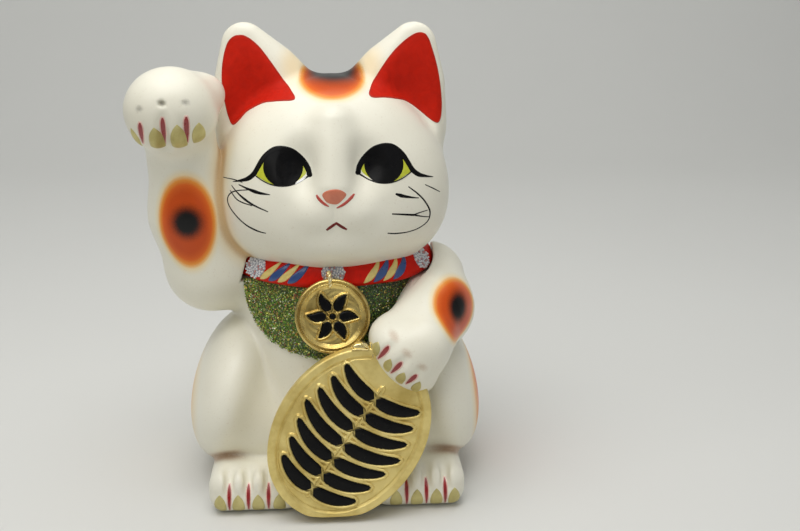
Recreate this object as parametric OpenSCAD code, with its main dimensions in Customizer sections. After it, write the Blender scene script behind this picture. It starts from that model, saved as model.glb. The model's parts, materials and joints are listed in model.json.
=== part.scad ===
// Beckoning cat figurine: glazed earthenware, cast hollow in separate pieces and luted together.
// Millimetres, +Z up, base on Z = 0. The cat faces -Y, so its own right side is -X.

/* [Head] */
// Half width of the skull
head_half_width = 61; // [58:0.5:63]
// Half depth of the skull
head_half_depth = 50; // [47:0.5:52]
// Height of the middle of the skull above the base
head_height = 173; // [171:0.5:175]
// Half height of the skull
head_half_height = 46; // [44:0.5:48]
// Height of the ear tips' centres
ear_tip_height = 237.7; // [230:0.1:239]
// Radius of the rounded ear tips
ear_tip_radius = 12.3; // [10:0.1:13]

/* [Body] */
// Half width of the torso at the hips
hip_half_width = 58; // [54:0.5:60]
// Half depth of the torso at the hips
hip_half_depth = 62; // [59:0.5:64]
// Half width of the chest
chest_half_width = 52; // [50:0.5:54]
// How far each haunch's middle stands from the middle plane
haunch_offset = 58.5; // [56:0.5:60]
// Wall thickness of the hollow castings
wall = 5; // [4:0.25:6]
// Height of the seam between the body and head castings
seam_height = 129; // [128:0.25:130]

/* [Base] */
// Thickness of the closing tile in the base
tile_thickness = 5; // [4:0.5:7]
// Radius of the vent hole in the base tile
vent_radius = 12; // [8:0.5:15]
// Radial gap between the tile and the body's wall
tile_gap = 0.3; // [0.2:0.05:0.6]

/* [Limbs] */
// Height of the middle of the raised paw
raised_paw_height = 208; // [205:0.5:213]
// Radius of the raised forearm below the paw
forearm_radius = 18.5; // [17:0.25:20]
// Half depth of the lowered paw, from its back to the toes
lowered_paw_radius = 17.5; // [16:0.25:19]
// Half width of each foot
foot_half_width = 25; // [23:0.5:26]
// Half height of each foot
foot_half_height = 11.5; // [10.5:0.25:13]

/* [Coin] */
// Half width of the oval coin
coin_half_width = 38.3; // [36:0.1:39]
// Half length of the oval coin
coin_half_length = 48.5; // [46:0.5:49]
// Thickness of the coin at its rim
coin_thickness = 8; // [7:0.5:9]
// How far the coin leans over sideways, degrees
coin_tilt = 35.5; // [32:0.5:38]

/* [Collar and bell] */
// Height of the middle of the collar
collar_height = 123.8; // [123:0.2:124.5]
// Height of the collar band
collar_band = 14.5; // [13:0.25:16]
// Radius of the round bell plate
bell_radius = 19.5; // [18:0.25:20]
// Thickness of the bell plate at its rim
bell_thickness = 7; // [6:0.5:8]

/* [Hidden] */

ivory = [0.93, 0.91, 0.86];
red = [0.72, 0.10, 0.06];
green = [0.18, 0.34, 0.12];
gold = [0.78, 0.66, 0.32];
black = [0.03, 0.03, 0.03];
steps = 15;
// How much thinner the ears are from front to back than from side to side
ear_squeeze = 1.45;
vent_back = 24;

coin_centre = [6.5, -74, 46.4];
// How square the coin's oval is; 2 is a plain ellipse.
coin_power = 2.05;
coin_lean = -8;
bell_centre = [-1, -55, 104];
bell_lean = -14;
foot_centre = [43, -40, foot_half_height];
foot_half_depth = 33;
elbow = [-67, -8, 120];
lowered_elbow = [55, -21.7, 96.6];
lowered_wrist = [44.5, -65.5, 90.1];
lowered_paw = [34.8, -63, 83.8];

// ---- Distances. Each function is below zero inside its form and above zero outside it. ----

function ellipsoid(p, c, r) =
  let (
    q = [(p.x - c.x) / r.x, (p.y - c.y) / r.y, (p.z - c.z) / r.z],
    k = norm(q),
    g = norm([q.x / r.x, q.y / r.y, q.z / r.z])
  )
  k * (k - 1) / max(g, 0.000001);

function capsule(p, a, b, ra, rb) =
  let (d = b - a, h = min(1, max(0, ((p - a) * d) / (d * d))))
  norm(p - a - h * d) - (ra + (rb - ra) * h);

// The smaller of two distances, with the valley between them filled to the width k.
function blend(a, b, k) =
  let (h = max(k - abs(a - b), 0) / k)
  min(a, b) - h * h * k / 4;

// The larger of two distances, with the edge between them rounded to the width k.
function common(a, b, k) = -blend(-a, -b, k);

function folded(p) = [abs(p.x), p.y, p.z];

function turned_y(p, a) = [p.x * cos(a) - p.z * sin(a), p.y, p.x * sin(a) + p.z * cos(a)];
function turned_x(p, a) = [p.x, p.y * cos(a) + p.z * sin(a), p.z * cos(a) - p.y * sin(a)];

function head_form(p) =
  let (
    q = folded(p),
    skull = ellipsoid(q, [0, -2, head_height], [head_half_width, head_half_depth, head_half_height]),
    crown = ellipsoid(q, [0, 0, head_height + 17], [42, 38, 31]),
    cheek = ellipsoid(q, [23, -10, head_height - 19], [39, 41, 33]),
    muzzle = ellipsoid(q, [0, -38, head_height - 26], [26, 18, 20]),
    nape = ellipsoid(q, [0, 4, seam_height + 4], [46, 43, 34])
  )
  blend(blend(blend(blend(skull, crown, 12), cheek, 16), muzzle, 14), nape, 10);

function torso_form(p) =
  let (
    hips = ellipsoid(p, [0, 8, 42], [hip_half_width, hip_half_depth, 74]),
    chest = ellipsoid(p, [0, 0, 98], [chest_half_width, 47, 56])
  )
  blend(hips, chest, 20);

// The cat's left haunch; its right one is the mirror image.
function haunch_form(p) =
  ellipsoid(turned_y(p - [haunch_offset, -6, 50], -16), [0, 0, 0], [22, 54, 42]);

// A capsule whose round ends differ so much that its sides are a true cone between them.
function horn(p, a, b, ra, rb) =
  let (
    size = norm(b - a),
    along = (b - a) / size,
    lean = (ra - rb) / sqrt(size * size - (ra - rb) * (ra - rb)),
    s = (p - a) * along,
    side = norm(p - a - s * along),
    t = min(1, max(0, (s - side * lean) / size))
  )
  norm(p - a - t * (b - a)) - ra - t * (rb - ra);

// The cat's left ear: a horn squeezed from front to back, with a flat face cut at a slant.
function ear_form(p) =
  let (
    q = [p.x, p.y * ear_squeeze, p.z],
    middle = [37.7, 7, head_height + 43],
    tip = horn(q, middle, [45.2, 3, ear_tip_height], 25, ear_tip_radius),
    foot = horn(q, [30, 9, head_height + 22], middle, 34, 25),
    n = [0.207, -0.972, 0.115]
  )
  common(min(tip, foot) / 1.15, (p - [44.5, -6.5, 226]) * n / norm(n), 4);

function foot_form(p) =
  let (
    r = 9,
    q = p - foot_centre,
    x = abs(q.x) - foot_half_width + r,
    y = abs(q.y) - foot_half_depth + r,
    z = abs(q.z) - foot_half_height + r
  )
  norm([max(x, 0), max(y, 0), max(z, 0)]) + min(max(x, y, z), 0) - r;

function raised_form(p) =
  let (
    wrist = [-78.5, -20, 190],
    shoulder = capsule(p, [-40, 0, 120], elbow, 25, 23),
    lower = capsule(p, elbow, [-75, -14, 150], 23, 21),
    upper = capsule(p, [-75, -14, 150], wrist, 21, forearm_radius),
    paw = ellipsoid(p, [-80.3, -34, raised_paw_height], [23.5, 23, 22])
  )
  blend(blend(blend(shoulder, lower, 12), upper, 12), paw, 8);

function lowered_form(p) =
  let (
    upper = capsule(p, [54, -1, 108.2], lowered_elbow, 20.4, 19.8),
    fore = capsule(p, lowered_elbow, lowered_wrist, 19.8, 15.5),
    thumb = capsule(p, [32, -57.3, 97.9], [53.8, -35.1, 102.9], 8.6, 14.9),
    paw = ellipsoid(turned_y(p - lowered_paw, 50), [0, 0, 0], [22.8, lowered_paw_radius, 12.6])
  )
  blend(blend(blend(upper, fore, 12), thumb, 8), paw, 8);

function tail_form(p) =
  let (
    root = capsule(p, [4, 62, 16], [24, 64, 20], 11, 9.5),
    tip = capsule(p, [24, 64, 20], [40, 54, 40], 9.5, 7)
  )
  blend(root, tip, 8);

function coin_form(p) =
  let (q = turned_y(turned_x(p - coin_centre, coin_lean), coin_tilt), n = coin_power)
  max(
    (pow(pow(abs(q.x) / coin_half_width, n) + pow(abs(q.z) / coin_half_length, n), 1 / n) - 1)
      * coin_half_width,
    abs(q.y) - coin_thickness / 2
  );

// ---- Skins. A surface is found along rays by halving the stretch that it lies in. ----

function reach(form, from, way, near, far, n) =
  let (m = (near + far) / 2)
  n == 0 ? m
  : form(from + m * way) > 0 ? reach(form, from, way, near, m, n - 1)
  : reach(form, from, way, m, far, n - 1);

function on_skin(form, from, way, far) = from + reach(form, from, way, 0, far, steps) * way;

// One ring of points: the rays start at from and rise by the angle lift out of the u, v plane.
function ring(form, from, u, v, w, lift, count, far) = [
  for (i = [0 : count - 1])
    let (a = 360 * i / count, flat = cos(a) * u + sin(a) * v)
      on_skin(form, from, cos(lift) * flat + sin(lift) * w, far)
];

function flattened(rows) = [for (row = rows) for (p = row) p];

// The two triangles of every square between neighbouring rings.
function band_faces(first, rings, count, wraps) = [
  for (i = [0 : rings - (wraps ? 1 : 2)])
    for (j = [0 : count - 1])
      let (
        k = (j + 1) % count,
        n = (i + 1) % rings,
        a = first + i * count + j,
        b = first + i * count + k,
        c = first + n * count + k,
        d = first + n * count + j
      )
      for (t = [[a, d, c], [a, c, b]]) t
];

// A closed skin over rings that run upwards, with a point at each end.
module capped_skin(rows, foot, top) {
  count = len(rows[0]);
  rings = len(rows);
  last = 1 + rings * count;
  points = concat([foot], flattened(rows), [top]);
  bottom_fan = [for (j = [0 : count - 1]) [0, 1 + j, 1 + (j + 1) % count]];
  top_fan = [
    for (j = [0 : count - 1])
      [last, last - count + (j + 1) % count, last - count + j]
  ];
  polyhedron(points, concat(bottom_fan, band_faces(1, rings, count, false), top_fan), 10);
}

// A closed skin over rings whose last one joins the first, such as a pipe's wall.
module looped_skin(rows) {
  polyhedron(flattened(rows), band_faces(0, len(rows), len(rows[0]), true), 10);
}

// A solid limb. Each stop on its middle line is [start point, angle of the rays].
module limb(form, stops, u, v, w, count, far) {
  n = len(stops);
  rows = [for (s = stops) ring(form, s[0], u, v, w, s[1], count, far)];
  capped_skin(rows, on_skin(form, stops[0][0], -w, far), on_skin(form, stops[n - 1][0], w, far));
}

// A solid around one point, with rings evenly spaced between its two poles.
module lump(form, centre, u, v, w, rings, count, far) {
  limb(
    form,
    [for (i = [1 : rings]) [centre, -90 + 180 * i / (rings + 1)]],
    u, v, w, count, far
  );
}

// ---- The hollow castings ----

torso_count = 56;
torso_levels = [0, tile_thickness, 12, 22, 33, 44, 55, 66, 76, 86, 96, 106, 114, 122, seam_height];

function torso_ring(z, inset) =
  ring(function (p) torso_form(p) + inset, [0, 2, z], [1, 0, 0], [0, 1, 0], [0, 0, 1], 0, torso_count, 90);

module torso_solid(inset) {
  rows = [for (z = torso_levels) torso_ring(z, inset)];
  capped_skin(rows, [0, 2, 0], [0, 2, seam_height]);
}

module haunch_solid(inset, rings, count) {
  lump(
    function (p) max(haunch_form(p) + inset, inset - p.z),
    [haunch_offset, -6, 50], [0, 0, 1], [1, 0, 0], [0, 1, 0], rings, count, 70
  );
}

module both_sides() {
  children();
  mirror([1, 0, 0]) children();
}

// The clay behind the coin, which carries it on the belly.
module coin_boss() {
  t = coin_thickness / 2;
  profile = [[9, -t - 34], [5, -t - 8], [4, -t]];
  at_coin()
    capped_skin(
      [for (c = profile) [for (p = coin_outline(c[0])) [p.x, p.y, c[1]]]],
      [0, 0, -t - 34],
      [0, 0, -t]
    );
}

module body_solid() {
  torso_solid(0);
  both_sides() haunch_solid(0, 15, 26);
  coin_boss();
}

function moved(row, z) = [for (p = row) [p.x, p.y, z]];

// The hollow runs out past the casting's flat ends, which leaves both of them open.
module body_hollow() {
  rows = [for (z = torso_levels) torso_ring(z, wall)];
  n = len(rows);
  capped_skin(
    concat([moved(rows[0], -3)], rows, [moved(rows[n - 1], seam_height + 3)]),
    [0, 2, -3],
    [0, 2, seam_height + 3]
  );
  both_sides() haunch_solid(wall, 11, 18);
}

// resize by nothing keeps each trimmed piece as one closed mesh.
module body_casting() {
  color(ivory)
    resize([0, 0, 0]) difference() {
      body_solid();
      body_hollow();
    }
}

module base_tile() {
  outline = [for (p = torso_ring(0, wall + tile_gap)) [p.x, p.y]];
  color(ivory)
    difference() {
      linear_extrude(tile_thickness) polygon(outline);
      translate([0, vent_back, -1]) cylinder(h = tile_thickness + 2, r = vent_radius, $fn = 64);
    }
}

head_count = 44;
head_rings = 19;
head_middle = [0, -2, head_height - 6];

// The head's lower end is the flat ring that stands on the body's neck.
function head_row(lift, inset) =
  ring(
    function (p) max(head_form(p) + inset, seam_height + inset - p.z),
    head_middle, [1, 0, 0], [0, 1, 0], [0, 0, 1], lift, head_count, 80
  );

head_lifts = [for (i = [0 : head_rings - 1]) -42 + i * (42 + 84) / (head_rings - 1)];
head_top = on_skin(function (p) head_form(p), head_middle, [0, 0, 1], 80);

function neck_hole(z) =
  let (edge = ring(
    function (p) torso_form(p) + wall,
    [0, -2, seam_height], [1, 0, 0], [0, 1, 0], [0, 0, 1], 0, head_count, 80
  ))
  [for (p = edge) [p.x, p.y, z]];

module head_solid() {
  capped_skin([for (a = head_lifts) head_row(a, 0)], [0, -2, seam_height], head_top);
}

module head_casting() {
  color(ivory)
    capped_skin(
      concat(
        [for (i = [head_rings - 1 : -1 : 0]) head_row(head_lifts[i], wall)],
        [neck_hole(seam_height + wall)],
        [neck_hole(seam_height)],
        [for (a = head_lifts) head_row(a, 0)]
      ),
      head_top - [0, 0, wall],
      head_top
    );
}

// ---- The luted pieces, each cut where it meets the castings that it sits on ----

module luted() {
  color(ivory)
    resize([0, 0, 0]) difference() {
      children();
      body_solid();
      head_solid();
    }
}

module ear() {
  lump(function (p) ear_form(p), [41, 4, 219], [1, 0, 0], [0, 1, 0], [0, 0, 1], 14, 26, 90);
}

module right_ear() {
  luted() mirror([1, 0, 0]) ear();
}

module left_ear() {
  luted() ear();
}

module raised_arm() {
  low = [-68, -9, 119];
  middle = [-75, -14, 150];
  wrist = [-78.5, -20, 190];
  paw = [-80.3, -34, raised_paw_height];
  stops = concat(
    [for (a = [-72 : 18 : -18]) [low, a]],
    [for (t = [0 : 0.33 : 0.7]) [low + t * (middle - low), 0]],
    [for (t = [0 : 0.25 : 0.8]) [middle + t * (wrist - middle), 0]],
    [for (t = [0 : 0.25 : 0.8]) [wrist + t * (paw - wrist), 0]],
    [for (a = [0 : 15 : 75]) [paw, a]]
  );
  luted()
    limb(function (p) raised_form(p), stops, [1, 0, 0], [0, 1, 0], [0, 0, 1], 26, 60);
}

module lowered_arm() {
  start = [56, -8, 104];
  end = lowered_paw + [1.5, 0, 1.2];
  along = (end - start) / norm(end - start);
  u = cross(along, [0, 0, 1]) / norm(cross(along, [0, 0, 1]));
  v = cross(along, u);
  stops = concat(
    [for (a = [-75 : 15 : -15]) [start, a]],
    [for (t = [0 : 0.14 : 0.9]) [start + t * (end - start), 0]],
    [for (a = [0 : 18 : 72]) [end, a]]
  );
  color(ivory)
    resize([0, 0, 0]) difference() {
      limb(function (p) lowered_form(p), stops, u, v, along, 24, 70);
      body_solid();
      head_solid();
      koban();
    }
}

module foot() {
  lump(function (p) foot_form(p), [44, -48, 11], [1, 0, 0], [0, 0, 1], [0, -1, 0], 11, 24, 60);
}

module right_foot() {
  luted() mirror([1, 0, 0]) foot();
}

module left_foot() {
  color(ivory)
    resize([0, 0, 0]) difference() {
      foot();
      body_solid();
      koban();
    }
}

module tail() {
  along = [0.78, 0, 0.62];
  luted()
    lump(function (p) tail_form(p), [26, 62, 23], [0, 1, 0], cross(along, [0, 1, 0]), along, 12, 18, 50);
}

// ---- Collar and bib, which follow the neck's surface ----

collar_count = 72;
// Each entry is [how far out, how far up] as parts of the band's thickness and height.
collar_profile = [
  [0, -0.42], [0.55, -0.5], [0.9, -0.42], [1, -0.2], [1, 0.2], [0.9, 0.42], [0.55, 0.5], [0, 0.42]
];
collar_thick = 5;
// How much further the collar stands out at the sides of the neck than in front
collar_flare = 3.5;
function collar_out(p) = collar_thick + collar_flare * p.x * p.x / max(1, p.x * p.x + p.y * p.y);

module collar() {
  rows = [
    for (c = collar_profile)
      ring(
        function (p) torso_form(p) - 0.05 - c[0] * collar_out(p),
        [0, 0, collar_height + c[1] * collar_band],
        [1, 0, 0], [0, 1, 0], [0, 0, 1], 0, collar_count, 80
      )
  ];
  color(red) looped_skin(rows);
}

// A frame on the collar's face at the angle a round the neck.
module on_collar(a) {
  way = [sin(a), -cos(a), 0];
  at = on_skin(function (p) torso_form(p) - 0.05 - collar_out(p), [0, 0, collar_height], way, 80);
  translate(at) rotate([90, 0, a]) children();
}

module blossom() {
  cylinder(h = 1, r = 3.6, $fn = 24);
  for (i = [0 : 4])
    rotate(72 * i) translate([3.2, 0, 0.3]) sphere(r = 1.5, $fn = 16);
  translate([0, 0, 0.6]) sphere(r = 1.4, $fn = 16);
}

module collar_blossoms() {
  color(ivory)
    for (a = [-53.5, -0.5, 65.5])
      on_collar(a) blossom();
}

bib_thick = 1.6;
bib_half_angle = 72;
function bib_low(s) = collar_height - 0.42 * collar_band - 1 - 40.2 * sqrt(max(0, 1 - pow(abs(s), 1.9)));

module bib() {
  cols = 26;
  rows = 8;
  // One closed loop of points for each column: out in front from top to bottom, back behind.
  function column(s) =
    let (
      a = s * bib_half_angle,
      way = [sin(a), -cos(a), 0],
      high = collar_height - 0.42 * collar_band - 0.1,
      low = min(high - 1.5, bib_low(s))
    )
    concat(
      [for (i = [0 : rows]) on_skin(function (p) torso_form(p) - 0.05,
        [0, 0, high + (low - high) * i / rows], way, 90)],
      [for (i = [rows : -1 : 0]) on_skin(function (p) torso_form(p) - bib_thick,
        [0, 0, high + (low - high) * i / rows], way, 90)]
    );
  loops = [for (i = [0 : cols]) column(-1 + 2 * i / cols)];
  n = 2 * rows + 2;
  last = cols * n;
  // Flat ends, closed between the front and back points.
  ends = [
    for (i = [0 : rows - 1])
      for (f = [
        [i, i + 1, n - 2 - i], [i, n - 2 - i, n - 1 - i],
        [last + i + 1, last + i, last + n - 2 - i], [last + i, last + n - 1 - i, last + n - 2 - i]
      ]) f
  ];
  faces = concat(band_faces(0, cols + 1, n, false), ends);
  color(green) polyhedron(flattened(loops), faces, 10);
}

// ---- Bell plate ----

module at_bell() {
  translate(bell_centre) rotate([bell_lean, 0, 0]) rotate([90, 0, 0]) children();
}

module bell() {
  t = bell_thickness / 2;
  r = bell_radius;
  color(gold)
    resize([0, 0, 0]) difference() {
      at_bell()
        rotate_extrude($fn = 48)
          polygon([
            [0, -t - 8], [r - 6, -t - 8], [r - 4, -t], [r - 2, -t], [r, -t + 2], [r, t - 1], [r - 1, t],
            [r - 1.8, t], [r - 2.4, t - 0.8], [r - 3, t], [r - 3.8, t], [r - 4.8, t - 1.2], [0, t - 1.2]
          ]);
      torso_solid(-bib_thick);
    }
}

// A tapering curved stroke: a middle line bent round an arc, with its two edges either side.
function stroke(len_mm, width, bend, n = 10) =
  let (
    spot = function (t) [len_mm * t, bend * len_mm * (t - t * t)],
    half = function (t) width * pow(sin(180 * pow(t, 0.6)), 0.8) / 2
  )
  concat(
    [for (i = [0 : n]) spot(i / n) + [0, -half(i / n) - 0.15]],
    [for (i = [n : -1 : 0]) spot(i / n) + [0, half(i / n) + 0.15]]
  );

module bell_inlay() {
  color(black) at_bell() translate([0, 0, bell_thickness / 2 - 1.2]) {
    cylinder(h = 1, r = 2, $fn = 24);
    for (i = [0 : 5])
      rotate(60 * i) translate([3.4, -1, 0]) linear_extrude(0.9) polygon(stroke(10, 5.6, 0.5));
  }
}

module bell_loop() {
  color(gold)
    translate(bell_centre + [-1.5, 2.5, bell_radius - 0.5])
      rotate([0, 90, 8])
        rotate_extrude($fn = 40) translate([3.6, 0]) circle(r = 1.3, $fn = 16);
}

module bell_ribbon() {
  color(gold) at_bell()
    translate([14, -14, -2])
      rotate(-48)
        linear_extrude(7)
          polygon([[-4, 5], [0, 6.5], [4, 5], [6.5, -5], [2.5, -3.5], [0, -7], [-2.5, -3.5], [-6.5, -5]]);
}

// ---- Coin ----

coin_count = 56;
function coin_outline(size) = [
  for (i = [0 : coin_count - 1])
    let (a = 360 * i / coin_count, e = 2 / coin_power)
      [
        (coin_half_width - size) * sign(cos(a)) * pow(abs(cos(a)), e),
        (coin_half_length - size) * sign(sin(a)) * pow(abs(sin(a)), e)
      ]
];

module at_coin() {
  translate(coin_centre) rotate([coin_lean, 0, 0]) rotate([0, coin_tilt, 0]) rotate([90, 0, 0]) children();
}

module koban() {
  t = coin_thickness / 2;
  // Each entry is [distance in from the edge, height], from the back round to the face.
  profile = [[1.5, -t], [0, -t + 1.5], [0, t - 1.5], [1, t], [3.6, t], [4.6, t - 1.1], [5.6, t - 0.5]];
  color(gold) at_coin()
    capped_skin(
      [for (c = profile) [for (p = coin_outline(c[0])) [p.x, p.y, c[1]]]],
      [0, 0, -t],
      [0, 0, t - 0.5]
    );
}

// Pairs of curved leaves up a leaning stem, like an ear of rice.
module koban_inlay() {
  color(black) at_coin() translate([0, 0, coin_thickness / 2 - 0.45])
    linear_extrude(1.2) {
      for (y = [-34 : 9.5 : 24], side = [0, 1])
        translate([0, y])
          mirror([side, 0]) rotate(18) translate([1.2, 0]) polygon(stroke(30 - abs(y + 5) / 4, 6.8, -0.4));
    }
}

// ---- Claws: small domes let into the toes ----

module claw(form, at, size) {
  lump(
    function (p) max(ellipsoid(p, at, size), 0.02 - form(p)),
    on_skin(form, at + [0, 12, 0], [0, -1, 0], 30) - [0, 0.7, 0],
    [1, 0, 0], [0, 1, 0], [0, 0, 1], 5, 10, 12
  );
}

module foot_claws() {
  for (x = [30.8, 41.8, 52.2, 61.8])
    claw(function (p) foot_form(p), [x, foot_centre.y - foot_half_depth + 0.3, 6.5], [3.2, 2.4, 5]);
}

module right_foot_claws() {
  color(gold) mirror([1, 0, 0]) foot_claws();
}

module left_foot_claws() {
  color(gold) foot_claws();
}

module raised_paw_claws() {
  color(gold)
    for (i = [-1.5 : 1 : 1.5])
      claw(
        function (p) raised_form(p),
        [-80.2 + 10.1 * i, -53.9 + 2.65 * i * i, raised_paw_height - 11.4 + abs(i) * 0.8],
        [2.8, 3, 5.2]
      );
}

module lowered_paw_claws() {
  color(gold)
    for (i = [-1.5 : 1 : 1.5])
      claw(
        function (p) lowered_form(p),
        lowered_paw + [-4.9 + 7.1 * i, -15.3 - 1.5 * i + 1.8 * i * i, -3.4 - 6.1 * i],
        [3, 3, 4.4]
      );
}

body_casting();
base_tile();
head_casting();
right_ear();
left_ear();
raised_arm();
lowered_arm();
right_foot();
left_foot();
tail();
collar();
collar_blossoms();
bib();
bell();
bell_inlay();
bell_loop();
bell_ribbon();
koban();
koban_inlay();
raised_paw_claws();
lowered_paw_claws();
right_foot_claws();
left_foot_claws();
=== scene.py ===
"""Looks of the beckoning cat: a glazed, hand-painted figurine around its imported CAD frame."""

import json
import math

import bpy
import numpy as np
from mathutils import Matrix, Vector

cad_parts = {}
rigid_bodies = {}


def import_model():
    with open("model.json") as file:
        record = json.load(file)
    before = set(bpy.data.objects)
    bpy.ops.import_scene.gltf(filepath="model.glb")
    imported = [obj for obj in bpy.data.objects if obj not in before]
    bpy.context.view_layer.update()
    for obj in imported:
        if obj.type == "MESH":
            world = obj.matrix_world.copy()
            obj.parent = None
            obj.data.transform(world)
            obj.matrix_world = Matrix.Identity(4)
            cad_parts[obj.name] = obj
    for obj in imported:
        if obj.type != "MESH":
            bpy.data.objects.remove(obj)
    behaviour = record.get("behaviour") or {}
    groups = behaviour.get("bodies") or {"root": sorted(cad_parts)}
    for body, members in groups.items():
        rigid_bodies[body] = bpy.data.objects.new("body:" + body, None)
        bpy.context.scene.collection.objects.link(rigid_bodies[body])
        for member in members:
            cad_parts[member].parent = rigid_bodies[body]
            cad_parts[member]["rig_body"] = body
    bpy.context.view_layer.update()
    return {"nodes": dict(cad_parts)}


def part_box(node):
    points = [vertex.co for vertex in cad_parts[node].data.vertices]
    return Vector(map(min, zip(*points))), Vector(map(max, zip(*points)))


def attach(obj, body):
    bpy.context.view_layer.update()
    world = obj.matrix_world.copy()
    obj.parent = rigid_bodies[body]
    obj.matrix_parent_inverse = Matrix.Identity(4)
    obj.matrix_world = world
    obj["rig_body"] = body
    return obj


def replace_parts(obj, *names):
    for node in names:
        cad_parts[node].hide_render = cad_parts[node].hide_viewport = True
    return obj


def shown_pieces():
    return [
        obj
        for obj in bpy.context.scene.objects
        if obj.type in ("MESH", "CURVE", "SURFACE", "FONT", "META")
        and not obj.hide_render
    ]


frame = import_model()

# Everything below is drawn in millimetres, as the CAD is, and the frame is in metres.
MM = 0.001
# How far apart the figure's mesh points are.
GRID = 1.15


# ---- Distances: below zero inside a form, above zero outside it ----

HEAD = (0.0, -2.0, 173.0)
HAUNCH = (58.5, -6.0, 50.0)
FOOT = (43.0, -40.0, 11.5)
RAISED_PAW = (-80.3, -34.0, 208.0)
LOWERED_PAW = (34.8, -63.0, 83.8)
LOWERED_ELBOW = (55.0, -21.7, 96.6)
COLLAR_HEIGHT, COLLAR_BAND, COLLAR_THICK, COLLAR_FLARE = 123.8, 14.5, 5.0, 3.5
COIN = np.array([6.5, -74.0, 46.4])
COIN_LEAN, COIN_TILT = 8.0, 35.5
COIN_HALF = np.array([38.3, 48.5])
COIN_ROUND = 2.05
BELL = np.array([-1.0, -55.0, 104.0])
BELL_LEAN = 14.0
SEAM = 129.0
FACE_MIDDLE = 1.0
EAR_SQUEEZE = 1.45
# Where the slits between each foot's toes are.
TOE_GAPS = (36.3, 46.8, 56.8)
# The slits between the paws' toes, from top to bottom, as (x, z).
RAISED_SLITS = [
    ((-92.6, 204.9), (-93.2, 193.4)),
    ((-81.2, 207.6), (-82.2, 193.4)),
    ((-70.0, 207.8), (-71.2, 194.0)),
]
LOWERED_SLITS = [
    ((26.9, 94.8), (21.5, 86.5)),
    ((33.2, 87.4), (27.9, 80.0)),
    ((40.8, 80.3), (35.5, 73.9)),
]
# The way that the front of the ear faces, and a point on it.
EAR_FACE = (0.207, -0.972, 0.115)
EAR_POINT = (44.5, -6.5, 226.0)


def vec(*numbers):
    return np.array(numbers, np.float32)


def cos_sin(degrees):
    return math.cos(math.radians(degrees)), math.sin(math.radians(degrees))


def turn_x(degrees):
    c, s = cos_sin(degrees)
    return np.array([[1, 0, 0], [0, c, -s], [0, s, c]], np.float32)


def turn_y(degrees):
    c, s = cos_sin(degrees)
    return np.array([[c, 0, s], [0, 1, 0], [-s, 0, c]], np.float32)


def turn_z(degrees):
    c, s = cos_sin(degrees)
    return np.array([[c, -s, 0], [s, c, 0], [0, 0, 1]], np.float32)


def length(v):
    return np.sqrt(np.einsum("...i,...i->...", v, v))


def ellipsoid(p, centre, radii, turn=None):
    q = p - vec(*centre)
    if turn is not None:
        q = q @ turn
    r = vec(*radii)
    q = q / r
    k = length(q)
    return k * (k - 1) / np.maximum(length(q / r), 1e-6)


def capsule(p, a, b, radius_a, radius_b):
    a, b = vec(*a), vec(*b)
    along = b - a
    h = np.clip(((p - a) @ along) / float(along @ along), 0, 1)
    return length(p - a - h[..., None] * along) - (radius_a + (radius_b - radius_a) * h)


def horn(p, a, b, radius_a, radius_b):
    """A capsule with true cone sides, for ends of very different size."""
    a, b = vec(*a), vec(*b)
    size = float(length(b - a))
    along = (b - a) / size
    lean = (radius_a - radius_b) / math.sqrt(size**2 - (radius_a - radius_b) ** 2)
    s = (p - a) @ along
    side = length(p - a - s[..., None] * along)
    t = np.clip((s - side * lean) / size, 0, 1)
    return length(p - a - t[..., None] * (b - a)) - (radius_a + t * (radius_b - radius_a))


def blend(a, b, k):
    """The union of two forms, with the valley between them filled to the width k."""
    h = np.maximum(k - np.abs(a - b), 0) / k
    return np.minimum(a, b) - h * h * k * 0.25


def common(a, b, k):
    """The overlap of two forms, with its edge rounded to the width k."""
    return -blend(-a, -b, k)


def folded(p):
    """Both halves of a mirrored form as one: x counts the same on either side."""
    q = p.copy()
    q[..., 0] = np.abs(q[..., 0])
    return q


def torso_form(p):
    hips = ellipsoid(p, (0, 8, 42), (58, 62, 74))
    chest = ellipsoid(p, (0, 0, 98), (52, 47, 56))
    return blend(hips, chest, 20)


def haunch_form(p):
    """A haunch, and the thigh that runs in from it under the belly."""
    q = folded(p)
    thigh = ellipsoid(q, (36, -27, 33), (25, 25, 29))
    return blend(ellipsoid(q, HAUNCH, (22, 54, 42), turn_y(-16)), thigh, 14)


def coin_turn():
    return turn_x(-COIN_LEAN) @ turn_y(COIN_TILT)


def coin_size(across, up):
    """1 on the coin's outline, and less inside it."""
    size = np.abs(across / COIN_HALF[0]) ** COIN_ROUND + np.abs(up / COIN_HALF[1]) ** COIN_ROUND
    return np.maximum(size, 1e-9) ** (1 / COIN_ROUND)


def boss_form(p):
    """The clay behind the coin."""
    q = (p - vec(*COIN)) @ coin_turn()
    inset = 4.5 + 0.2 * np.maximum(q[..., 1] - 4, 0)
    edge = (coin_size(q[..., 0], q[..., 2]) - 1) * COIN_HALF[0] + inset
    return common(edge, np.abs(q[..., 1] - 20) - 16.5, 4)


def skull_form(p):
    q = folded(p)
    d = ellipsoid(q, HEAD, (61, 50, 46))
    d = blend(d, ellipsoid(q, (0, 0, 190), (42, 38, 31)), 12)
    d = blend(d, ellipsoid(q, (23, -10, 154), (39, 41, 33)), 16)
    d = blend(d, ellipsoid(q, (0, -38, 147), (26, 18, 20)), 14)
    return blend(d, ellipsoid(q, (0, 4, 133), (46, 43, 34)), 10)


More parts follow.
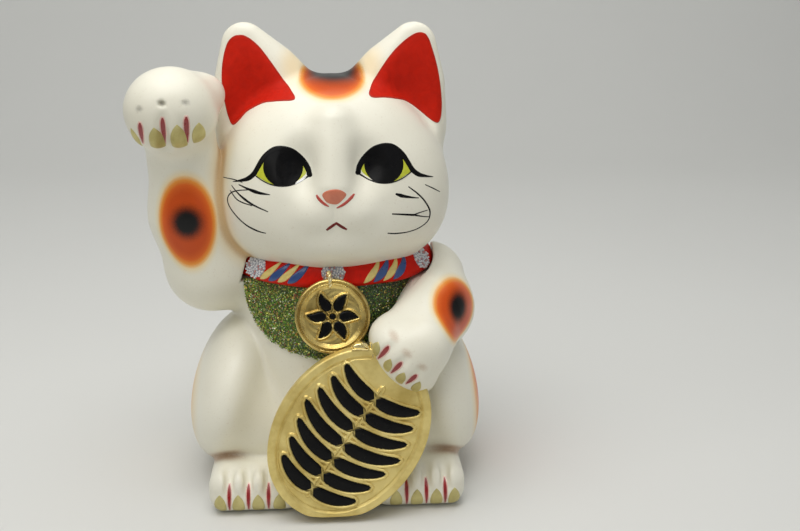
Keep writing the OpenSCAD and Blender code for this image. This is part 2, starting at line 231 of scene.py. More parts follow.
def face_form(p):
    """The skull with its eye hollows, nose bridge, muzzle and chin."""
    q = folded(p - vec(FACE_MIDDLE, 0, 0))
    d = skull_form(p)
    d = common(d, -ellipsoid(q, (15.5, -55.5, 184.5), (8.6, 9.6, 9.6)), 13)
    bridge = capsule(p, (FACE_MIDDLE, -38.5, 201), (FACE_MIDDLE, -52.0, 171), 8.0, 7.2)
    d = blend(d, bridge, 9)
    d = blend(d, ellipsoid(q, (7.5, -49.2, 157.5), (11, 8.9, 7.6)), 8)
    return blend(d, ellipsoid(p, (FACE_MIDDLE, -46.8, 142.5), (12.5, 8.0, 6.5)), 7)


def ear_form(p):
    q = folded(p)
    stretched = q * vec(1, EAR_SQUEEZE, 1)
    tip = horn(stretched, (37.7, 7, 216), (45.2, 3, 237.7), 25, 12.3)
    foot = horn(stretched, (30, 9, 195), (37.7, 7, 216), 34, 25)
    q = q - vec(*EAR_POINT)
    d = common(np.minimum(tip, foot) / 1.15, q @ vec(*EAR_FACE), 4)
    # The face of the ear is dished a little.
    dish = ellipsoid(q, (0, -9.0, -14), (17, 11, 33), turn_z(12) @ turn_y(-8))
    return common(d, -dish, 3)


def foot_form(p):
    """A foot with four toes, parted by grooves."""
    q = folded(p)
    half = vec(25, 33, 11.5) - 9
    out = np.abs(q - vec(*FOOT)) - half
    d = length(np.maximum(out, 0)) + np.minimum(out.max(-1), 0) - 9
    for x in TOE_GAPS:
        d = common(d, -capsule(q, (x, -61, 26.5), (x, -76.5, 10), 2.6, 1.6), 4)
    return d


def raised_form(p):
    """The raised arm; its paw is curled forwards, so that the toes hang over the wrist."""
    d = capsule(p, (-40, 0, 120), (-67, -8, 120), 25, 23)
    d = blend(d, capsule(p, (-67, -8, 120), (-75, -14, 150), 23, 21), 12)
    d = blend(d, capsule(p, (-75, -14, 150), (-78.5, -20, 190), 21, 18.5), 12)
    d = blend(d, ellipsoid(p, RAISED_PAW, (23.5, 23, 22)), 8)
    d = blend(d, ellipsoid(p, (-67, -19, 214.5), (12.5, 12, 11)), 8)
    near = p[..., 2] > 180
    if near.any():
        q, e = p[near], d[near]
        for (x, top), (_, bottom) in RAISED_SLITS:
            e = common(e, -capsule(q, (x, -59.5, top + 1), (x - 1, -48.5, bottom - 3), 1.7, 2.6), 3.5)
            e = common(e, -ellipsoid(q, (x, -57.2, top + 6.5), (1.9, 3.4, 1.5)), 1.5)
        d[near] = e
    return d


def lowered_form(p):
    """The lowered arm; its broad paw rests on the coin, toes side by side."""
    d = capsule(p, (54.0, -1.0, 108.2), LOWERED_ELBOW, 20.4, 19.8)
    d = blend(d, capsule(p, LOWERED_ELBOW, (44.5, -65.5, 90.1), 19.8, 15.5), 12)
    d = blend(d, capsule(p, (32.0, -57.3, 97.9), (53.8, -35.1, 102.9), 8.6, 14.9), 8)
    d = blend(d, ellipsoid(p, LOWERED_PAW, (22.8, 17.7, 12.6), turn_y(50)), 8)
    near = p[..., 1] < -50
    if near.any():
        q, e = p[near], d[near]
        for ((x, z), (u, w)), y in zip(LOWERED_SLITS, (-79.3, -82.6, -82.2)):
            e = common(e, -capsule(q, (x + 1.6, y, z + 2.4), (u, y + 3.6, w), 1.4, 2.2), 3)
        d[near] = e
    return d


def collar_reach(p):
    """How thick the collar is: it stands out further at the sides of the neck."""
    return COLLAR_THICK + COLLAR_FLARE * p[..., 0] ** 2 / np.maximum(p[..., 0] ** 2 + p[..., 1] ** 2, 1)


def collar_room(p):
    """The space round the neck that the arms leave free for the collar."""
    out = torso_form(p) - collar_reach(p) - 1.2
    return np.maximum(out, np.abs(p[..., 2] - COLLAR_HEIGHT) - COLLAR_BAND / 2 - 0.6)


def chest_form(p):
    """What the bib lies on: the chest and the shoulder of the raised arm."""
    return blend(torso_form(p), raised_form(p), 9)


def tail_form(p):
    d = capsule(p, (4, 62, 16), (24, 64, 20), 11, 9.5)
    return blend(d, capsule(p, (24, 64, 20), (40, 54, 40), 9.5, 7), 8)


def body_form(p):
    d = blend(torso_form(p), haunch_form(p), 4)
    return blend(d, boss_form(p), 5)


def glazed_form(p):
    """The whole ivory figure."""
    room = -collar_room(p)
    raised = common(raised_form(p), room, 2)
    d = blend(body_form(p), raised, 9)
    d = blend(d, blend(face_form(p), ear_form(p), 5), 3)
    d = blend(d, common(lowered_form(p), room, 2), 2)
    d = blend(d, foot_form(p), 2.5)
    d = blend(d, tail_form(p), 5)
    return common(d, -p[..., 2], 1.2)


PARTS = {
    "body_casting": lambda p: np.where(p[..., 2] < SEAM, body_form(p), 1e3),
    "head_casting": lambda p: np.where(p[..., 2] >= SEAM, face_form(p), 1e3),
    "right_ear": lambda p: np.where(p[..., 0] < 0, ear_form(p), 1e3),
    "left_ear": lambda p: np.where(p[..., 0] >= 0, ear_form(p), 1e3),
    "raised_arm": raised_form,
    "lowered_arm": lowered_form,
    "right_foot": lambda p: np.where(p[..., 0] < 0, foot_form(p), 1e3),
    "left_foot": lambda p: np.where(p[..., 0] >= 0, foot_form(p), 1e3),
    "tail": tail_form,
}


def slope(form, p, reach=0.35):
    """The direction in which a form's distance grows, as unit vectors."""
    out = np.zeros_like(p)
    for axis in range(3):
        step = np.zeros(3, np.float32)
        step[axis] = reach
        out[:, axis] = form(p + step) - form(p - step)
    return out / np.maximum(length(out), 1e-6)[:, None]


def settle(form, p, rounds=3):
    """Moves points onto a form's surface."""
    for _ in range(rounds):
        d = form(p)
        p = p - np.clip(d, -1.5, 1.5)[:, None] * slope(form, p)
    return p


# ---- Meshing ----


def sampled(form, low, high, step, margin=9.0):
    """A form's distances on a grid, worked out closely only near its surface."""
    coarse = 4
    counts = [int(math.ceil((high[i] - low[i]) / (step * coarse))) for i in range(3)]
    middles = [low[i] + (np.arange(counts[i]) + 0.5) * step * coarse for i in range(3)]
    grid = np.stack(np.meshgrid(*middles, indexing="ij"), -1).astype(np.float32)
    values = form(grid.reshape(-1, 3)).reshape(counts)
    for axis in range(3):
        values = values.repeat(coarse, axis)
    spots = np.argwhere(np.abs(values) < margin)
    points = (spots * step + np.array(low)).astype(np.float32)
    fine = np.concatenate([form(part) for part in np.array_split(points, max(1, len(points) // 200000))])
    values[spots[:, 0], spots[:, 1], spots[:, 2]] = fine
    return values


def surface_net(values, low, step):
    """Points and four-sided faces where a sampled form crosses zero."""
    inside = values < 0
    nx, ny, nz = values.shape
    corners = [(i, j, k) for i in (0, 1) for j in (0, 1) for k in (0, 1)]
    count = np.zeros((nx - 1, ny - 1, nz - 1), np.int8)
    for i, j, k in corners:
        count += inside[i : nx - 1 + i, j : ny - 1 + j, k : nz - 1 + k]
    cells = np.argwhere((count > 0) & (count < 8))
    number = np.full(count.shape, -1, np.int64)
    number[tuple(cells.T)] = np.arange(len(cells))
    total = np.zeros((len(cells), 3))
    crossings = np.zeros(len(cells))
    for axis in range(3):
        step_on = np.eye(3, dtype=int)[axis]
        for corner in corners:
            if corner[axis]:
                continue
            a = cells + corner
            b = a + step_on
            va, vb = values[tuple(a.T)], values[tuple(b.T)]
            crossed = (va < 0) != (vb < 0)
            t = np.where(crossed, va / np.where(crossed, va - vb, 1), 0)
            total += crossed[:, None] * (a + t[:, None] * step_on)
            crossings += crossed
    points = np.array(low) + step * total / crossings[:, None]
    faces = []
    for axis in range(3):
        u, v = np.eye(3, dtype=int)[(axis + 1) % 3], np.eye(3, dtype=int)[(axis + 2) % 3]
        a = np.moveaxis(inside, axis, 0)
        edges = np.argwhere(np.moveaxis(a[1:] != a[:-1], 0, axis))
        for w in (u, v):
            edges = edges[(edges @ w > 0) & (edges @ w < np.array(values.shape) @ w - 1)]
        around = ((0, 0), (1, 0), (1, 1), (0, 1))
        quad = np.stack([number[tuple((edges - s * u - t * v).T)] for s, t in around], 1)
        outward = inside[tuple(edges.T)]
        quad[~outward] = quad[~outward][:, ::-1]
        faces.append(quad)
    return points.astype(np.float32), np.concatenate(faces)


def mesh_object(name, points, faces, material, normals=None, marks=None):
    """A smooth-shaded mesh object from drawing millimetres; marks are named values for each point."""
    mesh = bpy.data.meshes.new(name)
    faces = faces if isinstance(faces, list) else [faces]
    loops = np.concatenate([f.ravel() for f in faces])
    sizes = np.concatenate([np.full(len(f), f.shape[1]) for f in faces])
    mesh.vertices.add(len(points))
    mesh.vertices.foreach_set("co", (np.asarray(points, np.float32) * MM).ravel())
    mesh.loops.add(len(loops))
    mesh.loops.foreach_set("vertex_index", loops.astype(np.int32))
    mesh.polygons.add(len(sizes))
    mesh.polygons.foreach_set("loop_start", np.concatenate([[0], np.cumsum(sizes)[:-1]]).astype(np.int32))
    mesh.polygons.foreach_set("use_smooth", np.ones(len(sizes), bool))
    mesh.update(calc_edges=True)
    mesh.validate()
    for key, numbers in (marks or {}).items():
        numbers = np.asarray(numbers, np.float32)
        if numbers.ndim == 1:
            mesh.attributes.new(key, "FLOAT", "POINT").data.foreach_set("value", numbers)
        else:
            full = np.ones((len(numbers), 4), np.float32)
            full[:, :3] = numbers
            mesh.attributes.new(key, "FLOAT_COLOR", "POINT").data.foreach_set("color", full.ravel())
    if normals is not None:
        mesh.normals_split_custom_set_from_vertices(normals.tolist())
    mesh.materials.append(material)
    made = bpy.data.objects.new(name, mesh)
    bpy.context.scene.collection.objects.link(made)
    return made


# ---- Lines, and paint laid on a surface ----


def smooth_line(points, count, closed=False):
    """A curve through the points, evenly stepped in its parameter."""
    p = np.asarray(points, float)
    n = len(p)
    t = np.linspace(0, n if closed else n - 1, count, endpoint=not closed)
    i = np.minimum(t.astype(int), n - 1 if closed else n - 2)
    f = (t - i)[:, None]
    if closed:
        a, b, c, d = p[(i - 1) % n], p[i % n], p[(i + 1) % n], p[(i + 2) % n]
    else:
        ends = np.concatenate([[2 * p[0] - p[1]], p, [2 * p[-1] - p[-2]]])
        a, b, c, d = ends[i], ends[i + 1], ends[i + 2], ends[i + 3]
    return b + 0.5 * f * (c - a + f * (2 * a - 5 * b + 4 * c - d + f * (3 * (b - c) + d - a)))


def strike(form, start, way, reach):
    """Where rays first meet a form, and the form's outward direction there."""
    close = 0.01
    start, way = start.astype(np.float32), way.astype(np.float32)
    gone = np.zeros(len(start), np.float32)
    for _ in range(60):
        d = form(start + gone[:, None] * way)
        if (d < close).all():
            break
        gone = np.minimum(gone + np.where(d > close, np.clip(d * 0.8, close, 25), 0), reach)
    for _ in range(3):
        gone = gone + np.clip(form(start + gone[:, None] * way), -0.3, 0.3) * 0.7
    spots = start + gone[:, None] * way
    return spots, slope(form, spots)


class Skin:
    """Takes flat drawing points (across, up) to a form's surface, seen from the front."""

    def __init__(self, form):
        self.form = form

    def at(self, flat):
        flat = np.asarray(flat, float)
        start = np.stack([flat[:, 0], np.full(len(flat), -120.0), flat[:, 1]], 1)
        return strike(self.form, start, np.tile([0.0, 1.0, 0.0], (len(flat), 1)), 240)


class Neck:
    """Takes (millimetres round the neck, height) to a form's surface; nought is in front."""

    radius = 52.0

    def __init__(self, form):
        self.form = form

    def at(self, flat):
        flat = np.asarray(flat, float)
        angle = flat[:, 0] / self.radius
        way = np.stack([-np.sin(angle), np.cos(angle), np.zeros(len(flat))], 1)
        start = -90 * way
        start[:, 2] = flat[:, 1]
        return strike(self.form, start, way, 89)


class Plate:
    """Takes flat drawing points to a turned flat face that lies a distance in front of a middle."""

    def __init__(self, middle, turn, front):
        self.across, self.out, self.up = turn[:, 0], -turn[:, 1], turn[:, 2]
        self.origin = middle + self.out * front

    def at(self, flat):
        flat = np.asarray(flat, float)
        spots = self.origin + flat[:, :1] * self.across + flat[:, 1:2] * self.up
        return spots.astype(np.float32), np.tile(self.out.astype(np.float32), (len(flat), 1))


class Shape:
    """Closed solids with marks, gathered from several strokes and made into one object."""

    def __init__(self):
        self.points, self.faces, self.marks, self.total = [], {3: [], 4: []}, {}, 0

    def add(self, points, *groups, **marks):
        points = np.asarray(points, float)
        groups = [np.asarray(g) for g in groups if len(g)]
        corners = np.concatenate([g[:, [0, i, i + 1]] for g in groups for i in range(1, g.shape[1] - 1)])
        a, b, c = (points[corners[:, i]] - points.mean(0) for i in range(3))
        outward = np.einsum("ij,ij->", a, np.cross(b, c)) > 0
        for group in groups:
            self.faces[group.shape[1]].append((group if outward else group[:, ::-1]) + self.total)
        self.points.append(points)
        for key, value in marks.items():
            value = np.asarray(value, float)
            if value.ndim < 2 and value.shape != (len(points),):
                value = np.tile(value, (len(points), 1) if value.ndim else len(points))
            self.marks.setdefault(key, []).append(value)
        self.total += len(points)

    def make(self, name, material, flat=False):
        faces = [np.concatenate(group) for group in self.faces.values() if group]
        marks = {key: np.concatenate(value) for key, value in self.marks.items()}
        made = mesh_object(name, np.concatenate(self.points), faces, material, marks=marks)
        if flat:
            made.data.polygons.foreach_set("use_smooth", np.zeros(len(made.data.polygons), bool))
        return made


def grid_faces(rows, columns, closed=False):
    """Four-sided faces of a grid of rows by columns; closed joins the last column to the first."""
    i, j = np.meshgrid(np.arange(rows - 1), np.arange(columns if closed else columns - 1), indexing="ij")
    k = (j + 1) % columns
    quads = np.stack([i * columns + j, i * columns + k, (i + 1) * columns + k, (i + 1) * columns + j], -1)
    return quads.reshape(-1, 4)


def sheet_faces(rows, columns):
    """The faces of a closed layer on a grid of rows by columns: its top, underside and edges."""
    n = rows * columns
    grid = grid_faces(rows, columns)
    first, last = np.arange(rows) * columns, np.arange(rows) * columns + columns - 1
    start, end = np.arange(columns), np.arange(columns) + n - columns
    edges = [(first[:-1], first[1:]), (last[1:], last[:-1]), (start[1:], start[:-1]), (end[:-1], end[1:])]
    sides = np.concatenate([np.stack([a, b, b + n, a + n], 1) for a, b in edges])
    return np.concatenate([grid, grid[:, ::-1] + n, sides])


def layered(spots, normals, height, sink):
    """The points of a layer: its top, and then its underside."""
    return np.concatenate([spots + normals * height[:, None], spots - normals * sink])


def dome(r, edge):
    """Height from 1 in the middle to 0 at r = 1, falling only over the last part."""
    t = np.clip((1 - np.abs(r)) / edge, 0, 1)
    return np.sqrt(1 - (1 - t) ** 2)


def patch(shape, skin, rim, lift, sink=0.4, rings=9, edge=0.25, crown=0.0, middle=None, **marks):
    """A thin closed layer inside a rim of points, with a rounded edge."""
    rim = np.asarray(rim, float)
    count = len(rim)
    middle = rim.mean(0) if middle is None else np.array(middle, float)
    radii = np.sin(np.linspace(0, 1, rings + 1)[1:] * math.pi / 2)
    flat = np.concatenate([[middle]] + [middle + r * (rim - middle) for r in radii])
    size = np.concatenate([[0.0]] + [np.full(count, r) for r in radii])
    spots, normals = skin.at(flat)
    height = lift * dome(size, edge) + crown * (1 - size**2)
    n = len(flat)
    grid = grid_faces(rings, count, closed=True) + 1
    j = np.arange(count)
    k = (j + 1) % count
    fan = np.stack([np.zeros(count, int), 1 + k, 1 + j], 1)
    rim_j, rim_k = 1 + (rings - 1) * count + j, 1 + (rings - 1) * count + k
    sides = np.stack([rim_j, rim_k, rim_k + n, rim_j + n], 1)
    quads = np.concatenate([grid[:, ::-1], grid + n, sides[:, ::-1]])
    fans = np.concatenate([fan[:, ::-1], fan + n])
    shape.add(layered(spots, normals, height, sink), quads, fans, **marks)


def stroke(shape, skin, points, widths, lift, sink=0.4, count=40, across=7, edge=0.5, **marks):
    """A brush line or raised ridge whose width changes along it."""
    line = smooth_line(points, count)
    steps = np.linspace(0, 1, count)
    width = np.interp(steps, np.linspace(0, 1, len(widths)), widths)
    along = np.gradient(line, axis=0)
    along /= np.maximum(np.linalg.norm(along, axis=1, keepdims=True), 1e-9)
    side = np.stack([-along[:, 1], along[:, 0]], 1)
    s = np.linspace(-1, 1, across)
    flat = line[:, None] + side[:, None] * (s[None, :, None] * width[:, None, None] / 2)
    spots, normals = skin.at(flat.reshape(-1, 2))
    taper = dome(np.linspace(-1, 1, count), 0.12)
    height = (lift * dome(s, edge)[None, :] * taper[:, None]).reshape(-1)
    shape.add(layered(spots, normals, height, sink), sheet_faces(count, across), **marks)


def leaf(apex, left, right):
    """The rim of a claw: two bowed sides that meet in a point, and a rounded foot."""
    apex, left, right = (np.array(p, float) for p in (apex, left, right))
    t = np.linspace(0, 1, 16, endpoint=False)[:, None]

    def bowed(a, b, bow):
        turned = np.array([-(b - a)[1], (b - a)[0]])
        return a + (b - a) * t + turned * bow * 4 * t * (1 - t)

    turn = np.sign(np.cross(right - left, apex - left))
    sides = ((left, right, 0.16), (right, apex, 0.14), (apex, left, 0.14))
    return np.concatenate([bowed(a, b, -bow * turn) for a, b, bow in sides])


def netted(name, form, low, high, step, material, settled=2):
    """A smooth closed mesh of a form that lies between two corners."""
    low, high = np.array(low, float), np.array(high, float)
    points, faces = surface_net(sampled(form, low, high, step, margin=6 * step), low, step)
    points = settle(form, points, settled)
    return mesh_object(name, points, faces, material, normals=slope(form, points, 0.2))


# ---- Materials ----


def new_material(name):
    material = bpy.data.materials.new(name)
    material.use_nodes = True
    tree = material.node_tree
    return material, tree, tree.nodes["Principled BSDF"]


def node(tree, kind, links, **settings):
    """A node with its settings; links are {input: socket, colour or number}."""
    made = tree.nodes.new(kind)
    for key, value in settings.items():
        setattr(made, key, value)
    for key, value in links.items():
        if isinstance(value, bpy.types.NodeSocket):
            tree.links.new(value, made.inputs[key])
        else:
            made.inputs[key].default_value = (*value, 1) if isinstance(value, tuple) else value
    return made


def noise(tree, scale, detail, rough=0.55, distortion=0.0):
    """Cloudy noise, with its scale in clouds per metre."""
    place = tree.nodes.new("ShaderNodeTexCoord").outputs["Object"]
    links = {"Vector": place, "Scale": scale, "Detail": detail, "Roughness": rough, "Distortion": distortion}
    return node(tree, "ShaderNodeTexNoise", links).outputs["Fac"]


def ramp(tree, value, *stops):
    """A colour or grey that changes with a value; stops are (position, colour or grey)."""
    made = node(tree, "ShaderNodeValToRGB", {"Fac": value})
    points = made.color_ramp.elements
    while len(points) < len(stops):
        points.new(0.5)
    for point, (at, colour) in zip(points, stops):
        point.position = at
        point.color = (*colour, 1) if isinstance(colour, tuple) else (colour, colour, colour, 1)
    return made.outputs["Color"]


def mixed(tree, share, a, b):
    return node(tree, "ShaderNodeMix", {0: share, 6: a, 7: b}, data_type="RGBA").outputs[2]


def maths(tree, how, a, b, clamp=False):
    return node(tree, "ShaderNodeMath", {0: a, 1: b}, operation=how, use_clamp=clamp).outputs[0]


def mark(tree, name, output="Fac"):
    return node(tree, "ShaderNodeAttribute", {}, attribute_name=name).outputs[output]


def dress(tree, shader, base, rough, relief, metal=0.0, shine=0.5, coat=0.0, coat_rough=0.1):
    """
    Joins a surface to its shader. rough is (noise scale, detail, lowest, highest), and each
    layer of relief is (noise, strength, depth in millimetres).
    """
    scale, detail, low, high = rough
    tree.links.new(base, shader.inputs["Base Color"])
    spread = ramp(tree, noise(tree, scale, detail), (0.3, low), (0.7, high))
    tree.links.new(spread, shader.inputs["Roughness"])
    normal = None
    for height, strength, depth in relief:
        links = {"Height": height, "Strength": strength, "Distance": depth * MM}
        if normal is not None:
            links["Normal"] = normal
        normal = node(tree, "ShaderNodeBump", links).outputs["Normal"]
    tree.links.new(normal, shader.inputs["Normal"])
    shader.inputs["Metallic"].default_value = metal
    shader.inputs["Specular IOR Level"].default_value = shine
    shader.inputs["Coat Weight"].default_value = coat
    shader.inputs["Coat Roughness"].default_value = coat_rough


def ivory_material():
    """Warm white glaze with airbrushed marks, read from the mesh, and the faults of a hand-dipped pot."""
    material, tree, shader = new_material("ivory_glaze")
    cloud = ramp(tree, noise(tree, 22, 4), (0.3, 0.0), (0.7, 1.0))
    colour = mixed(tree, cloud, (0.82, 0.79, 0.66), (0.87, 0.845, 0.72))
    speck = ramp(tree, noise(tree, 900, 2), (0.30, 1.0), (0.36, 0.0))
    colour = mixed(tree, maths(tree, "MULTIPLY", speck, 0.22), colour, (0.62, 0.52, 0.38))
    grain = maths(tree, "MULTIPLY", maths(tree, "SUBTRACT", noise(tree, 1400, 2), 0.5), 0.35)

    def airbrushed(name, paint, under):
        amount = mark(tree, name)
        fringe = ramp(tree, amount, (0.0, 0.0), (0.15, 1.0), (0.85, 1.0), (1.0, 0.0))
        amount = maths(tree, "ADD", amount, maths(tree, "MULTIPLY", grain, fringe), clamp=True)
        return mixed(tree, amount, under, paint)

    colour = airbrushed("tan", (0.36, 0.145, 0.028), colour)
    # The orange is sprayed thinner and yellower towards its edge; the same mark also carries a faint painted
    # reflection of the red ear where the raised paw meets the face.
    amount = mark(tree, "orange")
    sprayed = maths(tree, "ADD", amount, maths(tree, "MULTIPLY", grain, 0.25), clamp=True)
    faded, warm = (0.90, 0.70, 0.38), (0.85, 0.33, 0.05)
    full, deep = (0.74, 0.13, 0.010), (0.60, 0.075, 0.005)
    orange = ramp(tree, sprayed, (0.22, faded), (0.46, warm), (0.72, full), (1.0, deep))
    colour = mixed(tree, ramp(tree, amount, (0.0, 0.0), (0.3, 1.0)), colour, orange)
    colour = airbrushed("black", (0.002, 0.002, 0.002), colour)
    relief = (noise(tree, 35, 2), 0.35, 0.25), (noise(tree, 260, 2), 0.12, 0.04)
    dress(tree, shader, colour, (60, 3, 0.32, 0.44), relief, shine=0.2, coat=0.25, coat_rough=0.12)
    return material


def paint_material(name, colour, darker, rough, coat, shine=0.4):
    """Hand-brushed enamel: its colour streaks and pools a little."""
    material, tree, shader = new_material(name)
    share = ramp(tree, noise(tree, 120, 4, 0.6, 1.5), (0.35, 0.0), (0.65, 0.5))
    relief = (noise(tree, 90, 3), 0.15, 0.12), (noise(tree, 600, 2), 0.15, 0.03)
    base = mixed(tree, share, colour, darker)
    dress(tree, shader, base, (300, 3, rough * 0.8, rough * 1.3), relief, shine=shine, coat=coat)
    return material


def marked_material(name):
    """Enamel whose colour is given stroke by stroke."""
    material, tree, shader = new_material(name)
    own = mark(tree, "paint", "Color")
    darker = mixed(tree, 0.35, own, (0.02, 0.015, 0.01))
    base = mixed(tree, ramp(tree, noise(tree, 160, 4, 0.6, 1.2), (0.4, 0.0), (0.7, 0.6)), own, darker)
    relief = [(noise(tree, 200, 3), 0.25, 0.1)]
    dress(tree, shader, base, (300, 3, 0.24, 0.39), relief, coat=0.6)
    return material


def gold_material(name, colour, dark, rough, grain=1.0, metal=0.85):
    """Gold lustre over clay, brushed on unevenly: cloudy patches of brighter and duller gold."""
    material, tree, shader = new_material(name)
    base = mixed(tree, ramp(tree, noise(tree, 70, 5, 0.6), (0.32, 1.0), (0.62, 0.0)), colour, dark)
    relief = (noise(tree, 45, 2), 0.25 * grain, 0.3), (noise(tree, 500, 3), 0.3 * grain, 0.05)
    dress(tree, shader, base, (240, 4, rough * 0.8, rough * 1.35), relief, metal=metal)
    return material


def glitter_material(name, metal, rough):
    """Glitter: each flake or grain has a colour of its own."""
    material, tree, shader = new_material(name)
    share = ramp(tree, noise(tree, 800, 2), (0.4, 0.0), (0.6, 0.5))
    base = mixed(tree, share, mark(tree, "paint", "Color"), (0.01, 0.03, 0.005))
    relief = [(noise(tree, 900, 2), 0.3, 0.08)]
    dress(tree, shader, base, (500, 2, rough * 0.7, rough * 1.6), relief, metal=metal, coat=0.6)
    return material


def clay_material():
    material, tree, shader = new_material("bare_biscuit")
    cloud = ramp(tree, noise(tree, 30, 6, 0.65), (0.3, 0.0), (0.7, 1.0))
    grit = ramp(tree, noise(tree, 700, 3), (0.58, 0.0), (0.66, 0.6))
    base = mixed(tree, grit, mixed(tree, cloud, (0.60, 0.49, 0.36), (0.74, 0.65, 0.52)), (0.36, 0.27, 0.18))
    relief = (noise(tree, 500, 5, 0.7), 0.5, 0.25), (noise(tree, 40, 3), 0.3, 0.5)
    dress(tree, shader, base, (90, 3, 0.8, 0.95), relief)
    return material


IVORY = ivory_material()
RED = paint_material("red_enamel", (0.72, 0.013, 0.003), (0.46, 0.008, 0.003), 0.45, 0.06, 0.12)
BLACK = paint_material("black_gloss", (0.0015, 0.0015, 0.002), (0.006, 0.0055, 0.005), 0.3, 0.08, 0.12)
YELLOW = paint_material("eye_yellow", (0.56, 0.58, 0.03), (0.40, 0.44, 0.02), 0.3, 0.5)
PINK = paint_material("nose_pink", (0.68, 0.21, 0.11), (0.56, 0.14, 0.08), 0.35, 0.6)
MAROON = paint_material("maroon_line", (0.17, 0.010, 0.008), (0.09, 0.006, 0.006), 0.35, 0.2, 0.2)
MAROON_PINK = paint_material("nose_line_red", (0.50, 0.07, 0.045), (0.38, 0.035, 0.025), 0.35, 0.5)
EAR_EDGE = paint_material("ear_edge_red", (0.50, 0.03, 0.015), (0.40, 0.02, 0.01), 0.5, 0.0, 0.15)
EAR_RED = paint_material("ear_vermilion", (0.58, 0.013, 0.002), (0.42, 0.008, 0.001), 0.6, 0.0, 0.15)
# White for the painted highlight in the eye.
HIGHLIGHT_WHITE = paint_material("raised_white", (0.88, 0.88, 0.90), (0.78, 0.78, 0.82), 0.3, 0.8)
ENAMEL = marked_material("coloured_enamel")
GOLD = gold_material("gold_lustre", (0.86, 0.70, 0.27), (0.62, 0.46, 0.13), 0.42, metal=0.6)
BELL_GOLD = gold_material("bell_gold", (0.80, 0.62, 0.22), (0.40, 0.27, 0.07), 0.26, metal=0.95)
BRIGHT_GOLD = gold_material("raised_gold", (0.93, 0.80, 0.42), (0.74, 0.56, 0.20), 0.24, grain=0.6)
OLIVE = gold_material("olive_gold", (0.66, 0.59, 0.26), (0.46, 0.39, 0.14), 0.42, metal=0.45)
GLITTER = glitter_material("green_glitter", 0.3, 0.32)
FLAKE = glitter_material("glitter_flake", 0.45, 0.28)
CLAY = clay_material()


# ---- The glazed figure, split into the pieces that it was cast in ----

WALL = 3.0


def falloff(d, inner, outer):
    """1 where d is below inner, 0 beyond outer, with a soft run between."""
    t = np.clip((outer - d) / (outer - inner), 0, 1)
    return t * t * (3 - 2 * t)


def spot(p, centre, radii, soft, turn=None):
    """A soft airbrushed spot: 1 inside, 0 outside."""
    q = p - vec(*centre)
    if turn is not None:
        q = q @ turn
    return falloff(length(q / vec(*radii)), 1 - soft, 1 + soft)


def orange_marks(p):
    arm = spot(p, (-75.5, -38, 150), (13.8, 30, 22.8), 0.33)
    other = spot(p, (64.5, -47, 103.5), (14.0, 26, 14.5), 0.34)
    crown = spot(p, (1, -8, 221.5), (16, 27, 14.5), 0.34)
    haunch = spot(folded(p), (84, -4, 50), (9, 44, 38), 0.6) * np.where(p[:, 0] > 0, 0.8, 0.32)
    slopes = spot(folded(p - vec(1, 0, 0)), (20.5, 2, 226), (7, 18, 10), 0.7) * 0.2
    # A faint warm tint in the join between the raised paw and the face: painted reflection of light from the
    # red ear.
    painted_ear_reflection = crease(raised_form(p), face_form(p), 12) * 0.16
    return np.clip(np.max([arm, other, crown, haunch, slopes, painted_ear_reflection], 0), 0, 1)


def black_marks(p):
    arm = spot(p, (-75.2, -38, 150.7), (7.8, 30, 8.2), 0.45)
    other = spot(p, (65.2, -46, 104.6), (5.8, 14, 7.4), 0.45)
    crown = spot(p, (1.5, 3, 223), (14.5, 22, 12.3), 0.42)
    dimples = [spot(p, (x, -56, top + 6.6), (1.8, 6, 1.5), 0.6) * 0.4 for (x, top), _ in RAISED_SLITS]
    return np.max([arm, other, crown, *dimples], 0)


def crease(a, b, width):
    """1 in the valley where two forms meet, fading out over the width."""
    return falloff(np.abs(a) + np.abs(b), 0.5, width)


def tan_marks(p):
    """Thin brown stain that was sprayed into the deep joins, and dabbed on the knuckles."""
    arm, face, body = raised_form(p), face_form(p), body_form(p)
    foot = crease(foot_form(p), body, 6) * falloff(-np.abs(p[:, 0]), -60, -45)
    under_face = np.maximum(crease(arm, face, 5.5), crease(lowered_form(p), face, 6))
    joins = np.max([under_face, foot * 0.7, crease(arm, body, 4) * 0.4], 0)
    dabs = np.zeros(len(p), np.float32)
    for (x, top), _ in LOWERED_SLITS:
        dabs = np.maximum(dabs, spot(p, (x + 2.6, -76, top + 4.6), (2.6, 9, 1.8), 0.7, turn_y(40)) * 0.36)
    return np.maximum(joins, dabs)


def glazed_net():
    """Points and faces of the whole glazed figure, evened out once the net is on the surface."""
    low = np.array([-112.0, -88.0, -3.0])
    high = np.array([92.0, 82.0, 254.0])
    points, faces = surface_net(sampled(glazed_form, low, high, GRID), low, GRID)
    points = settle(glazed_form, points)
    for _ in range(2):
        total = np.zeros_like(points)
        count = np.zeros(len(points))
        for a, b in ((0, 1), (1, 0), (1, 2), (2, 1), (2, 3), (3, 2), (3, 0), (0, 3)):
            np.add.at(total, faces[:, a], points[faces[:, b]])
            np.add.at(count, faces[:, a], 1)
        points = settle(glazed_form, points + 0.5 * (total / count[:, None] - points), 1)
    return points, faces


